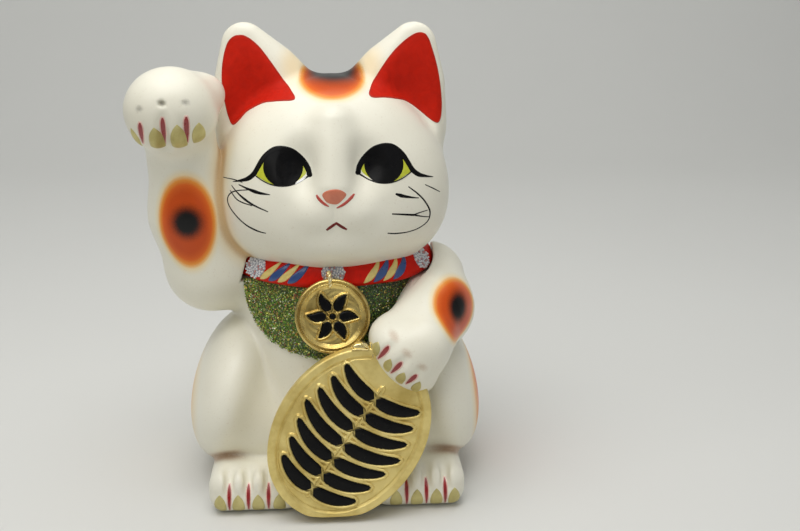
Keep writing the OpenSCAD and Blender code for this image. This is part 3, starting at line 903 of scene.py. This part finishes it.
def cast_pieces():
    """One closed shell for each cast piece; neighbours share the points of their seam."""
    points, faces = glazed_net()
    normals = slope(glazed_form, points)
    middles = points[faces].mean(1)
    owner = np.stack([form(middles) for form in PARTS.values()]).argmin(0)
    marks = {"orange": orange_marks(points), "black": black_marks(points), "tan": tan_marks(points)}
    for number, name in enumerate(PARTS):
        own = faces[owner == number]
        used, own = np.unique(own, return_inverse=True)
        own = own.reshape(-1, 4)
        n = len(used)
        outer, inner = points[used], points[used] - normals[used] * WALL
        pairs = np.stack([own, np.roll(own, -1, 1)], -1).reshape(-1, 2)
        keys = pairs[:, 0].astype(np.int64) * n + pairs[:, 1]
        back = pairs[:, 1].astype(np.int64) * n + pairs[:, 0]
        rim = pairs[~np.isin(keys, back)]
        sides = np.stack([rim[:, 1], rim[:, 0], rim[:, 0] + n, rim[:, 1] + n], 1)
        made = mesh_object(
            name + "_glazed",
            np.concatenate([outer, inner]),
            np.concatenate([own, own[:, ::-1] + n, sides]),
            IVORY,
            normals=np.concatenate([normals[used], -normals[used]]),
            marks={key: np.tile(value[used], 2) for key, value in marks.items()},
        )
        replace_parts(made, name)


cast_pieces()


# ---- Painted face, ears, claws and slits ----


def ellipse(centre, radii, count=48):
    a = np.linspace(0, 2 * math.pi, count, endpoint=False)
    return np.stack([centre[0] + radii[0] * np.cos(a), centre[1] + radii[1] * np.sin(a)], 1)


def paint_eyes():
    """Yellow eyes with black pupils, a heavy upper lid that runs out into a tail, and a fine lower line."""
    opening = [
        (40.1, 177.2), (38, 181), (35, 184.8), (30.5, 187.8), (25, 188.6), (21, 186.9),
        (17.7, 183.8), (15.4, 180.5), (15, 178.2), (18, 175.6), (21.5, 174), (26, 173.1),
        (30.5, 173.1), (35, 174.3), (38.2, 175.9),
    ]
    lid = [
        (13.1, 177.5), (13.9, 180.3), (15.9, 183.5), (18.8, 186.6), (22.3, 189.1),
        (26.5, 190.2), (30.5, 189.8), (34, 187.7), (36.8, 184.9), (39, 181.5),
        (41.3, 177.8), (44.6, 175.1), (48.5, 173.7), (53, 172.4),
    ]
    lid_widths = [2.4, 3.1, 3.2, 3.2, 3.2, 3.1, 3.0, 2.8, 2.6, 2.5, 2.5, 2.2, 1.2, 0.25]
    lower = [
        (40.6, 176.9), (37, 174.8), (33, 173.3), (28.5, 172.6), (23.5, 172.8), (18.5, 174.3),
        (13.8, 177),
    ]
    skin = Skin(face_form)
    irises, black = Shape(), Shape()
    for side, drop in ((1, 0.0), (-1, 0.7)):
        def placed(points):
            return [(FACE_MIDDLE + side * (x - FACE_MIDDLE), z - drop) for x, z in points]

        patch(irises, skin, smooth_line(placed(opening), 72, closed=True), lift=0.1, rings=16)
        pupil = placed(ellipse((26.5, 181.1), (10.1, 8.9)))
        patch(black, skin, pupil, lift=0.22, rings=16, edge=0.05)
        stroke(black, skin, placed(lid), lid_widths, lift=0.24, count=90, across=9)
        stroke(black, skin, placed(lower), [0.7, 0.5, 0.6, 0.8, 0.8, 0.6, 0.9], lift=0.22, count=50)
        dot = placed([(13.3, 178.0)])[0]
        patch(black, skin, ellipse(dot, (1.5, 1.4), 24), lift=0.22, rings=4)
    irises.make("eye_irises", YELLOW)
    glint = Shape()
    # A painted highlight: a short raised white stroke below the inner corner of the eye at -x, standing in
    # for a glint of light.
    stroke(glint, skin, [(-18.6, 172.6), (-15.8, 174.0), (-12.9, 175.6)], [0.3, 0.9, 1.0, 0.3], lift=0.3)
    return black, glint


def paint_whiskers(black):
    skin = Skin(face_form)
    for points, widths in (
        ([(-47.7, 170.9), (-41.9, 169.2), (-36.7, 168), (-31.2, 167.5)], [0.3, 0.7, 1.3, 0.9, 0.2]),
        ([(-51.7, 169.8), (-47.4, 166), (-41, 162.2), (-32.5, 158.9)], [0.25, 0.45, 0.9, 0.6, 0.3]),
        ([(-52.5, 167.2), (-48.2, 163.1), (-40.6, 161.3)], [0.25, 0.4, 0.4, 0.3]),
        ([(-41.9, 169.1), (-48.1, 167.9), (-52.2, 165.9), (-54.1, 162.6), (-53.2, 159.1), (-49.4, 154.7),
          (-44.1, 150.6), (-38.2, 148.1), (-34.1, 147.3)], [0.25, 0.35, 0.35, 0.4, 0.45, 0.65, 0.3]),
        ([(-56.5, 172.6), (-50.5, 172.9), (-45.6, 172.2)], [0.2, 0.3, 0.2]),
        ([(32.1, 167), (35.8, 165.6), (40.4, 164.4), (44.6, 163.5)], [0.6, 1.3, 0.9, 0.5, 0.2]),
        ([(38.9, 169.9), (43.5, 166.1), (47.4, 161.8), (50.3, 156.7), (50.7, 153.1), (49.2, 149.9),
          (44.4, 147.3), (38.2, 146.1), (32.1, 146.2), (27.9, 146.9)],
         [0.3, 0.5, 0.5, 0.6, 0.45, 0.4, 0.4, 0.5, 0.4]),
        ([(30.1, 157), (35.7, 156.2), (41.9, 155.1)], [0.4, 0.6, 0.8]),
        ([(41.5, 155.1), (45, 155.9), (49.4, 156.3)], [0.6, 0.35, 0.25]),
        ([(41.5, 155.2), (46.6, 153.5), (50.8, 152.3)], [0.6, 0.35, 0.25]),
        ([(48, 169.6), (52.5, 166.9), (56.8, 163.9)], [0.2, 0.35, 0.2]),
    ):
        wide = [1.35 * w + 0.1 for w in widths]
        stroke(black, skin, points, wide, lift=0.14, count=12 * len(points), across=5)


def paint_nose_and_mouth():
    skin = Skin(face_form)
    nose, lines, mouth = Shape(), Shape(), Shape()
    rim = [
        (-5.0, 168.7), (-3.4, 170.5), (-0.5, 171.6), (2.5, 171.7), (5.2, 170.6), (7.0, 168.6),
        (5.0, 166.0), (2.0, 163.9), (-2.0, 164.6), (-4.0, 166.4),
    ]
    patch(nose, skin, smooth_line(rim, 56, closed=True), lift=0.25, crown=0.2)
    left = [(-7.9, 168.4), (-6.7, 166.6), (-4.3, 164.4), (-1.8, 162.9)]
    right = [(11.1, 168.5), (9.1, 166.6), (5.8, 164.0), (2.0, 162.0)]
    stroke(lines, skin, left, [0.8, 1.6, 1.5, 1.3, 0.5], lift=0.25)
    stroke(lines, skin, right, [0.8, 1.7, 1.5, 1.3, 0.5], lift=0.25)
    for points in ([(-3.3, 150.6), (-1, 152.3), (1.9, 154.3)], [(7, 150.8), (4.4, 152.4), (1.5, 154.4)]):
        stroke(mouth, skin, points, [0.9, 1.5, 1.5, 1.3], lift=0.25)
    nose.make("nose_leather", PINK)
    lines.make("nose_outline", MAROON_PINK)
    mouth.make("mouth_line", MAROON)


def paint_ears():
    """Vermilion inside the ears, edged with a finer, darker line."""
    red, edge = Shape(), Shape()
    rims = (
        [(-47.4, 243.3), (-43.0, 242.3), (-36.9, 237.3), (-30.4, 228.8), (-24.4, 220.3), (-18.4, 213.2),
         (-24.1, 211.8), (-34.7, 210.0), (-44.8, 204.3), (-52.5, 197.3), (-55.9, 208.1), (-57.2, 219.9),
         (-56.4, 229.6), (-54.2, 237.7), (-51.4, 241.8)],
        [(49.3, 244.3), (44.5, 243.3), (37.2, 238), (30.8, 231), (25.5, 223.5), (21.3, 217), (21.1, 213.4),
         (30.2, 212.3), (40.3, 209.3), (47.9, 203.9), (55.7, 197.8), (59, 198.3), (60, 206.9), (58.9, 218.5),
         (57.1, 227.9), (54.3, 237.2), (52.2, 242.2)],
    )
    skin = Skin(lambda p: blend(face_form(p), ear_form(p), 5))
    for rim in rims:
        line = smooth_line(rim, 120, closed=True)
        patch(red, skin, line, lift=0.2, rings=16, edge=0.06, middle=(rim[0][0] * 0.9, 221))
        stroke(edge, skin, np.concatenate([line[::4], line[:1]]), [0.7, 0.7], lift=0.3, count=160, across=5)
    red.make("ear_linings", EAR_RED)
    edge.make("ear_lining_edges", EAR_EDGE)


RED_SLIT, PALE_SLIT = (0.32, 0.006, 0.007), (0.86, 0.56, 0.48)


def paint_slit(shape, skin, top, bottom, width):
    """A red slit between two toes: round at the top, pointed below, edged in pale pink."""
    top, bottom = np.array(top), np.array(bottom)
    run = [top + t * (bottom - top) for t in (0, 0.33, 0.66, 1)]
    past = (bottom - top) / np.linalg.norm(bottom - top) * 0.5
    wide = [run[0] - past] + run[1:3] + [run[3] + past]
    shares = [0.25, 0.8, 1.0, 1.0, 0.95, 0.85, 0.65, 0.4, 0.1]
    stroke(shape, skin, wide, [s * width + 0.8 for s in shares], lift=0.12, across=9, paint=PALE_SLIT)
    stroke(shape, skin, run, [s * width for s in shares], lift=0.24, across=9, paint=RED_SLIT)


def paint_claws(name, skin, tips, ridged=()):
    """Olive-gold claws with their points up; those whose numbers are in ridged have a fine ridge."""
    claws = Shape()
    for i, (apex, left, right) in enumerate(tips):
        rim = leaf(apex, left, right)
        patch(claws, skin, rim, lift=0.25, crown=0.5, rings=7, edge=0.3)
        if i in ridged:
            middle = rim.mean(0)
            small = middle + (rim - middle) * 0.62 + (np.array(apex) - middle) * 0.06
            ridge = np.concatenate([small[16:], small[:1]])
            stroke(claws, skin, ridge[::3], [0.45, 0.5, 0.45], lift=0.75, count=40, across=5)
    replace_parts(claws.make(name + "_painted", OLIVE), name)


def paint_paws():
    raised, lowered, feet = Skin(raised_form), Skin(lowered_form), Skin(foot_form)
    slits = Shape()
    for skin, found in ((raised, RAISED_SLITS), (lowered, LOWERED_SLITS)):
        for top, bottom in found:
            paint_slit(slits, skin, top, bottom, 2.7)
    for side in (-1, 1):
        for x in TOE_GAPS:
            paint_slit(slits, feet, (side * x, 16.4), (side * (x + 0.2), 2.6), 2.1)
    slits.make("toe_slits", ENAMEL)
    paint_claws("raised_paw_claws", raised, (
        ((-98.4, 201.5), (-94.6, 190.9), (-97.6, 194.6)),
        ((-85.7, 202.7), (-89.2, 192.3), (-81.9, 192.2)),
        ((-74.5, 204.1), (-78.4, 192.5), (-71.4, 192.3)),
        ((-64.6, 204.3), (-68.4, 193.4), (-62.6, 196.5)),
    ), ridged=(1, 2))
    paint_claws("lowered_paw_claws", lowered, (
        ((21.8, 96.2), (18.3, 92.0), (20.6, 87.6)),
        ((27.6, 89.0), (24.1, 83.8), (26.7, 80.4)),
        ((34.4, 82.2), (30.1, 77.2), (33.6, 73.8)),
        ((42.5, 76.4), (37.9, 71.5), (41.5, 68.4)),
    ))
    for side, name in ((-1, "right"), (1, "left")):
        toes = (30.8, 41.8, 52.2, 61.8)
        tips = [((side * x, 12.6), (side * (x - 3), 2.6), (side * (x + 3), 2.6)) for x in toes]
        paint_claws(name + "_foot_claws", feet, tips)


painted_black, glint = paint_eyes()
paint_whiskers(painted_black)
painted_black.make("eye_and_whisker_lines", BLACK)
glint.make("eye_glint", HIGHLIGHT_WHITE)
paint_nose_and_mouth()
paint_ears()
paint_paws()


# ---- Collar, bib, bell and coin ----

BIB_ANGLE, BIB_REACH, BIB_DEPTH, BIB_THICK = 72.0, 51.0, 40.2, 1.6
BIB_TOP = COLLAR_HEIGHT - 0.42 * COLLAR_BAND - 0.2
COIN_FRONT, BELL_FRONT, BELL_RADIUS = 4.0, 3.5, 19.5
# The height at which the coin's lower edge is cut flat.
COIN_FOOT = 3.0
STEM_ROWS = [-34 + 9.5 * i for i in range(7)]


def collar_form(p):
    """A padded band round the neck, a little uneven where it was pressed on by hand."""
    angle = np.arctan2(p[..., 0], -p[..., 1])
    sway = 0.35 * np.sin(5 * angle + 0.6) + 0.25 * np.sin(11 * angle + 2)
    out = np.maximum(torso_form(p) + 1.0, 0) / (collar_reach(p) + 0.9 + 0.25 * np.sin(9 * angle))
    high = np.abs(p[..., 2] - COLLAR_HEIGHT - sway * 0.5) / (COLLAR_BAND / 2 + 0.1)
    size = (out**2.8 + high**2.8) ** (1 / 2.8)
    return common((size - 1) * COLLAR_THICK, -(torso_form(p) + 1.0), 0.5)


def make_collar():
    low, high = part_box("collar")
    low, high = np.array(low) / MM - 2, np.array(high) / MM + 2
    band = netted("collar_band", collar_form, low, high, 0.7, RED)
    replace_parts(band, "collar")


CREAM, BLUE = (0.82, 0.64, 0.20), (0.020, 0.070, 0.25)


def make_collar_painting():
    """Slanted brush strokes between the blossoms, in fours, round the neck."""
    skin = Neck(collar_form)
    strokes = Shape()
    for middle in (-29.2, 31.7, 95.0, 150.0, -95.0, -150.0):
        for i, colour in enumerate((CREAM, BLUE, CREAM, BLUE)):
            x = middle + (i - 1.5) * 5.9
            size = 1.0 if colour == CREAM else 1.15
            line = [(x - 6.0, 118.8), (x - 3.1, 120.8), (x + 1.2, 124.4), (x + 5.6, 128.9)]
            widths = [0.5, 2.4 * size, 3.7 * size, 3.8 * size, 2.7 * size, 0.9]
            stroke(strokes, skin, line, widths, lift=0.3, across=9, paint=colour)
    strokes.make("collar_strokes", ENAMEL)


def make_blossoms():
    """Blossoms of slip trailed in small white dots, on a blue-grey ground."""
    random = np.random.default_rng(4)
    skin = Neck(collar_form)
    dots = Shape()
    count = 58
    for x, z, across, up in ((-48.5, 124.3, 7.0, 5.2), (-0.4, 124.8, 6.8, 5.4), (59.6, 125.2, 7.2, 5.2)):
        patch(dots, skin, ellipse((x, z), (across, up), 40), lift=0.55, rings=6, paint=(0.40, 0.42, 0.50))
        golden = math.pi * (3 - math.sqrt(5))
        for i in range(count):
            r, a = math.sqrt((i + 0.5) / count), i * golden
            spot_at = (x + across * r * math.cos(a), z + up * r * math.sin(a))
            size = 0.55 + 0.16 * random.random()
            tone = (0.86, 0.86, 0.88) if random.random() < 0.86 else (0.62, 0.30, 0.28)
            patch(dots, skin, ellipse(spot_at, (size, size), 9), lift=0.8, crown=0.45, rings=3, paint=tone)
    made = dots.make("collar_blossom_dots", ENAMEL)
    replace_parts(made, "collar_blossoms")


def bib_depth(s):
    """How far the bib hangs at s, from -1 at one end to 1 at the other."""
    return BIB_DEPTH * np.sqrt(np.maximum(0, 1 - np.abs(s) ** 1.9))


def bib_across(s):
    """How far to the side s lies."""
    return BIB_REACH * np.sin(s * math.radians(BIB_ANGLE))


def make_glue(random, skin):
    """A felt-thick layer of glue and glitter with a ragged lower edge."""
    columns, rows = ((260, 76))
    s = np.linspace(-1, 1, columns)
    wander = np.convolve(random.normal(0, 1, columns + 8), np.ones(4) / 4, "same")[4:-4]
    depth = np.maximum(bib_depth(s) - 0.8 + 0.7 * wander, 0.8)
    t = np.linspace(0, 1, rows)
    across = np.repeat(bib_across(s)[:, None], rows, 1)
    height = BIB_TOP - depth[:, None] * t[None, :]
    flat = np.stack([across, height], -1).reshape(-1, 2)
    spots, normals = skin.at(flat)
    edge = np.minimum(dome(t[None, :] * np.ones((columns, 1)), 0.06), dome(s, 0.03)[:, None] ** 0.7)
    grain = random.uniform(-0.28, 0.28, (columns, rows))
    lift = ((BIB_THICK - 0.45) * edge + grain * edge).reshape(-1)
    # The green grows lighter towards the left: partly painted light from the left, partly the glitter's own
    # uneven colour.
    left_light_and_tone = np.clip(0.45 - flat[:, 0] / 70, 0, 1.1)[:, None]
    green = np.array([0.020, 0.034, 0.008]) + left_light_and_tone * np.array([0.075, 0.115, 0.006])
    colour = green * random.uniform(0.15, 2.2, (len(flat), 1))
    sheet = Shape()
    sheet.add(layered(spots, normals, lift, 0.8), sheet_faces(columns, rows), paint=np.tile(colour, (2, 1)))
    layer = sheet.make("bib_glue_layer", GLITTER)
    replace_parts(layer, "bib")


def make_flakes(random, skin):
    """Loose square flakes that stand on the glue at all angles."""
    count = 9500
    s = random.uniform(-1, 1, 3 * count)
    t = random.uniform(0, 1, 3 * count)
    keep = random.uniform(0, BIB_DEPTH, 3 * count) < bib_depth(s)
    s, t = s[keep][:count], t[keep][:count]
    count = len(s)
    flat = np.stack([bib_across(s), BIB_TOP - (bib_depth(s) - 0.3) * t], 1)
    spots, normals = skin.at(flat)
    tilt = normals + random.normal(0, 0.42, (count, 3))
    tilt /= np.linalg.norm(tilt, axis=1, keepdims=True)
    side = np.cross(tilt, random.normal(0, 1, (count, 3)))
    side /= np.linalg.norm(side, axis=1, keepdims=True)
    other = np.cross(tilt, side)
    half = random.uniform(0.18, 0.48, (count, 1))
    middle = spots + normals * (BIB_THICK - 0.35 + random.uniform(-0.2, 0.25, (count, 1)))
    corners = [side + other * 0.6, -side + other * 0.6, -side - other * 0.6, side - other * 0.6]
    points = np.stack([middle + c * half + tilt * z for z in (0.05, -0.05) for c in corners], 1)
    box = np.array([[0, 1, 2, 3], [7, 6, 5, 4], [0, 4, 5, 1], [1, 5, 6, 2], [2, 6, 7, 3], [3, 7, 4, 0]])
    quads = (np.arange(count)[:, None, None] * 8 + box).reshape(-1, 4)
    greens = np.array([[0.07, 0.22, 0.015], [0.17, 0.36, 0.02], [0.42, 0.45, 0.05], [0.02, 0.07, 0.01]])
    bright = np.array([[0.95, 0.74, 0.16], [0.92, 0.95, 0.72], [0.50, 0.12, 0.05], [0.65, 0.80, 0.20]])
    # More bright flakes left of the middle, and greens lighter towards the left: painted light and sparkle
    # from the left, over the glitter's own mix.
    pick = random.random(count) < np.where(flat[:, 0] < 0, 0.42, 0.15)
    tone = np.where(pick[:, None], bright[random.integers(0, 4, count)], greens[random.integers(0, 4, count)])
    tone = tone * np.where(pick, 1, np.clip(1.15 - flat[:, 0] / 75, 0.3, 1.6))[:, None]
    flakes = Shape()
    flakes.add(points.reshape(-1, 3), quads, paint=np.repeat(tone, 8, 0))
    flakes.make("bib_glitter_flakes", FLAKE, flat=True)


def make_bib():
    random = np.random.default_rng(11)
    skin = Skin(chest_form)
    make_glue(random, skin)
    make_flakes(random, skin)


def lines_distance(p, lines):
    """How far flat points are from tapering lines; each line is (points, half widths)."""
    best = np.full(len(p), 1e3, np.float32)
    for points, halves in lines:
        for a, b, ra, rb in zip(points[:-1], points[1:], halves[:-1], halves[1:]):
            d = b - a
            h = np.clip(((p - a) @ d) / max(float(d @ d), 1e-9), 0, 1)
            best = np.minimum(best, length(p - a - h[:, None] * d) - (ra + (rb - ra) * h))
    return best


def turned(line, degrees):
    """A flat line, turned about the origin."""
    c, s = cos_sin(degrees)
    return line @ np.array([[c, s], [-s, c]])


def petal_line(size, width, bend, fullness):
    """The middle line and half widths of one curved petal that starts at the origin."""
    t = np.linspace(0, 1, 14)
    line = np.stack([size * t, bend * size * (t - t * t)], 1)
    half = width * np.sin(math.pi * t**0.6).clip(0) ** fullness / 2
    return line, half.astype(np.float32)


def coin_leaves():
    """Pairs of leaves up a stem, like an ear of rice."""
    found = []
    for y in STEM_ROWS:
        for mirror in (1.0, -1.0):
            line, half = petal_line(30.5 - abs(y + 5) / 4, 7.2, -0.4, 0.42)
            line = (turned(line, 18) + np.array([0.6, 0])) * np.array([mirror, 1])
            found.append((line.astype(np.float32) + np.array([0, y], np.float32), half))
    return found


def bell_petals():
    line, half = petal_line(10, 5.6, 0.5, 0.8)
    line = (line + np.array([3.4, -1])).astype(np.float32)
    return [(turned(line, 60 * i).astype(np.float32), half) for i in range(6)]


def ridge(d, middle, half, height):
    """A rounded ridge along the line where d equals middle."""
    t = np.clip(np.abs(d - middle) / half, 0, 1)
    return height * np.sqrt(1 - t * t) * (t < 1)


def step_up(d, at, run):
    """A smooth step from 0 to 1 round d = at."""
    t = np.clip((d - at) / run + 0.5, 0, 1)
    return t * t * (3 - 2 * t)


def coin_edge(q):
    """Distance in from the coin's outline, for flat points; positive inside."""
    size = coin_size(q[:, 0], q[:, 1])
    return ((1 - size) * length(q) / size).astype(np.float32)


COIN_LEAVES, BELL_PETALS = coin_leaves(), bell_petals()


def coin_relief(q):
    """Height of the coin's face: a raised rim, a fine groove, and gold edges round the leaves."""
    inset = coin_edge(q)
    height = -0.55 * step_up(inset, 4.3, 1.0)
    height = height - ridge(inset, 5.4, 0.55, 0.45)
    d = lines_distance(q, COIN_LEAVES)
    stem = np.abs(q[:, 0]) + np.maximum(np.abs(q[:, 1] + 4) - 34, 0)
    height = height + ridge(np.minimum(d, stem - 0.2), 0.65, 0.85, 1.15)
    return height - 0.35 * step_up(-d, 0.2, 0.6)


def relief_face(front, flat, relief, reach):
    """Distances in front of a face that carries relief, worked out only near the face."""
    near = np.abs(front) < reach
    face = front.copy()
    if near.any():
        face[near] = front[near] - relief(flat[near])
    return face * 0.8


def coin_form(p):
    q = (p - vec(*COIN)) @ coin_turn()
    flat = np.stack([q[..., 0], q[..., 2]], -1)
    face = relief_face(-q[..., 1] - COIN_FRONT, flat, coin_relief, 3.5)
    plate = common(common(-coin_edge(flat) * 0.95, face, 1.6), q[..., 1] - COIN_FRONT, 1.5)
    return common(plate, COIN_FOOT - p[..., 2], 2.5)


def inlay(face, lines, trim, **sizes):
    """Black strokes that lie between the gold edges; trim is how much narrower they are."""
    black = Shape()
    for line, half in lines:
        stroke(black, face, line, np.maximum(2 * half - trim, 0.15), edge=0.8, **sizes)
    return black


def make_coin():
    corner = np.array([50.0, 16.0, 56.0])
    step = 0.5
    coin = netted("coin_plate", coin_form, COIN - corner, COIN + corner, step, GOLD, settled=3)
    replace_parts(coin, "koban")
    face = Plate(COIN, coin_turn().astype(float), COIN_FRONT)
    black = inlay(face, COIN_LEAVES, 0.3, lift=0.42, sink=1.4, count=44, across=11)
    made = black.make("coin_leaves", BLACK)
    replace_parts(made, "koban_inlay")


def bell_turn():
    return turn_x(-BELL_LEAN)


def bell_relief(q):
    """Two rims with a groove between them, a soft bowl inside, and gold edges round the petals."""
    r = length(q)
    inset = BELL_RADIUS - r
    height = -1.3 * step_up(inset, 3.6, 1.6)
    height = height - ridge(inset, 1.9, 0.5, 0.8)
    height = height + ridge(inset, 4.2, 0.6, 0.35)
    d = lines_distance(q, BELL_PETALS)
    d = np.minimum(d, r - 1.7)
    height = height + ridge(d, 0.5, 0.65, 1.0)
    angle = np.arctan2(q[:, 1], q[:, 0])
    return height + 0.16 * np.sin(7 * angle + 1.2 * r) * step_up(inset, 5.5, 2)


def bell_form(p):
    q = (p - vec(*BELL)) @ bell_turn()
    flat = np.stack([q[..., 0], q[..., 2]], -1)
    r = length(flat)
    face = relief_face(-q[..., 1] - BELL_FRONT, flat, bell_relief, 3)
    side = np.maximum(r - BELL_RADIUS, r - 13.5 - np.maximum(6 - (q[..., 1] - BELL_FRONT), 0))
    plate = common(common(side, face, 1.4), q[..., 1] - 11.5, 1)
    return np.maximum(plate, -(torso_form(p) - BIB_THICK * 0.7))


def make_bell():
    low, high = BELL - np.array([21, 9, 21]), BELL + np.array([21, 14, 21])
    bell = netted("bell_plate", bell_form, low, high, 0.42, BELL_GOLD, settled=3)
    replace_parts(bell, "bell")
    face = Plate(BELL, bell_turn().astype(float), 2.3)
    black = inlay(face, BELL_PETALS, 0.2, lift=0.55, sink=1.0, count=36, across=9)
    patch(black, face, ellipse((0, 0), (1.5, 1.5), 24), lift=0.6, sink=1.0, rings=5, edge=0.8)
    made = black.make("bell_petals", BLACK)
    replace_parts(made, "bell_inlay")


def make_ribbon():
    """A folded ribbon end between the bell and the coin's rim."""
    front = Plate(BELL, bell_turn().astype(float), 11.5)
    ribbon = Shape()
    for points, widths in (
        ([(10.0, -14.9), (12.0, -14.7), (14.5, -14.7), (16.8, -15.4)], [1.5, 3.4, 3.8, 1.5]),
        ([(18.8, -12.8), (20.0, -15.0), (20.4, -17.8), (19.6, -20.8)], [0.8, 3.0, 3.2, 2.6, 0.7]),
        ([(9.0, -16.2), (12.0, -16.1), (15.0, -16.2), (18.2, -16.5)], [0.8, 1.4, 1.5, 1.0]),
        ([(14.0, -12.9), (15.6, -13.6), (17.2, -14.8), (18.3, -16.3)], [1.0, 1.6, 1.7, 1.0]),
    ):
        raised = 1.4 if max(widths) > 2 else 2.2
        stroke(ribbon, front, points, widths, lift=raised, sink=7.0, count=36, across=13, edge=0.8)
    made = ribbon.make("bell_ribbon_folds", BRIGHT_GOLD)
    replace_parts(made, "bell_ribbon")


def make_loop():
    """The twisted ring that holds the bell."""
    rounds, sides = 96, 20
    t = np.linspace(0, 2 * math.pi, rounds, endpoint=False)
    low, high = (np.array(c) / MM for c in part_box("bell_loop"))
    middle, size = (low + high) / 2, (high - low) / 2
    c, s = cos_sin(8)
    across = np.array([-s, c, 0])
    thick, wide = 1.0, float(size[2]) - 1.3
    centres = middle + wide * (np.cos(t)[:, None] * np.array([0, 0, 1]) + np.sin(t)[:, None] * across)
    outward = (centres - middle) / wide
    along = np.cross(outward, np.cross(across, [0, 0, 1]))
    sideways = np.cross(outward, along)
    v = np.linspace(0, 2 * math.pi, sides, endpoint=False)
    twist = v[None, :] + 4 * t[:, None]
    radius = thick * (1 + 0.22 * np.cos(2 * twist))
    points = centres[:, None] + radius[..., None] * (
        np.cos(v)[None, :, None] * outward[:, None] + np.sin(v)[None, :, None] * sideways[:, None]
    )
    quads = grid_faces(rounds + 1, sides, closed=True) % (rounds * sides)
    loop = Shape()
    loop.add(points.reshape(-1, 3), quads)
    made = loop.make("bell_loop_twist", BRIGHT_GOLD)
    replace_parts(made, "bell_loop")


make_collar()
make_collar_painting()
make_blossoms()
make_bib()
make_coin()
make_bell()
make_ribbon()
make_loop()


# ---- What stays from the CAD, riding, stage, light and camera ----

base = frame["nodes"]["base_tile"]
base.data.materials.clear()
base.data.materials.append(CLAY)

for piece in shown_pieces():
    if "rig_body" not in piece:
        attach(piece, "root")


def stage_material():
    material, tree, shader = new_material("stage")
    tone = mixed(tree, noise(tree, 3, 2), (0.70, 0.70, 0.672), (0.73, 0.73, 0.70))
    tree.links.new(tone, shader.inputs["Base Color"])
    shader.inputs["Roughness"].default_value = 0.75
    return material


def floor():
    """A pale sheet that curves up behind the figure."""
    profile = [(-2.5, 0.0), (-0.6, 0.0), (0.9, 0.0)]
    bend = np.linspace(0.08, math.pi / 2, 20)
    profile += [(0.9 + 0.9 * math.sin(a), 0.9 - 0.9 * math.cos(a)) for a in bend]
    profile += [(1.8, 3.2)]
    columns = np.linspace(-3.5, 3.5, 9)
    points = [(x * 1000, y * 1000, z * 1000) for y, z in profile for x in columns]
    made = mesh_object("floor", np.array(points), grid_faces(len(profile), len(columns)), stage_material())


def area_light(name, place_at, aim, size, power, colour=(1, 1, 1)):
    data = bpy.data.lights.new(name, "AREA")
    data.shape = "RECTANGLE"
    data.size, data.size_y = size
    data.energy = power
    data.color = colour
    made = bpy.data.objects.new(name, data)
    bpy.context.scene.collection.objects.link(made)
    made.location = Vector(place_at)
    made.rotation_euler = (Vector(aim) - Vector(place_at)).to_track_quat("-Z", "Y").to_euler()


def point_camera():
    """A 45 mm lens, 547 mm in front of the neck and 272 mm up, that looks down and a little to the right."""
    data = bpy.data.cameras.new("camera")
    data.lens = 45.0
    data.sensor_width = 36.0
    camera = bpy.data.objects.new("camera", data)
    bpy.context.scene.collection.objects.link(camera)
    camera.location = Vector((0.0, -547.0, 272.0)) * MM
    camera.rotation_euler = (math.pi / 2 - math.radians(16.0), 0.0, -math.radians(3.95))
    bpy.context.scene.camera = camera


floor()
area_light("key", (-0.60, -0.60, 1.30), (0, 0, 0.12), (1.4, 1.1), 7.0, (1.0, 0.985, 0.955))
area_light("fill", (1.1, -1.2, 0.7), (0, 0, 0.12), (1.6, 1.4), 1.6, (0.97, 0.985, 1.0))
area_light("top", (0.05, -0.10, 1.45), (0, 0, 0.1), (1.6, 1.4), 6)
area_light("near_top", (-0.02, -0.16, 0.66), (0, -0.02, 0.2), (0.42, 0.34), 1.1, (1.0, 0.99, 0.97))
area_light("backdrop", (0, 0.5, 1.7), (0, 1.7, 0.7), (2.4, 0.8), 8, (0.99, 1.0, 0.98))
world = bpy.data.worlds.new("soft_room")
world.use_nodes = True
background = world.node_tree.nodes["Background"]
background.inputs["Color"].default_value = (0.80, 0.81, 0.82, 1)
background.inputs["Strength"].default_value = 0.30
bpy.context.scene.world = world
bpy.context.scene.view_settings.view_transform = "Standard"

point_camera()
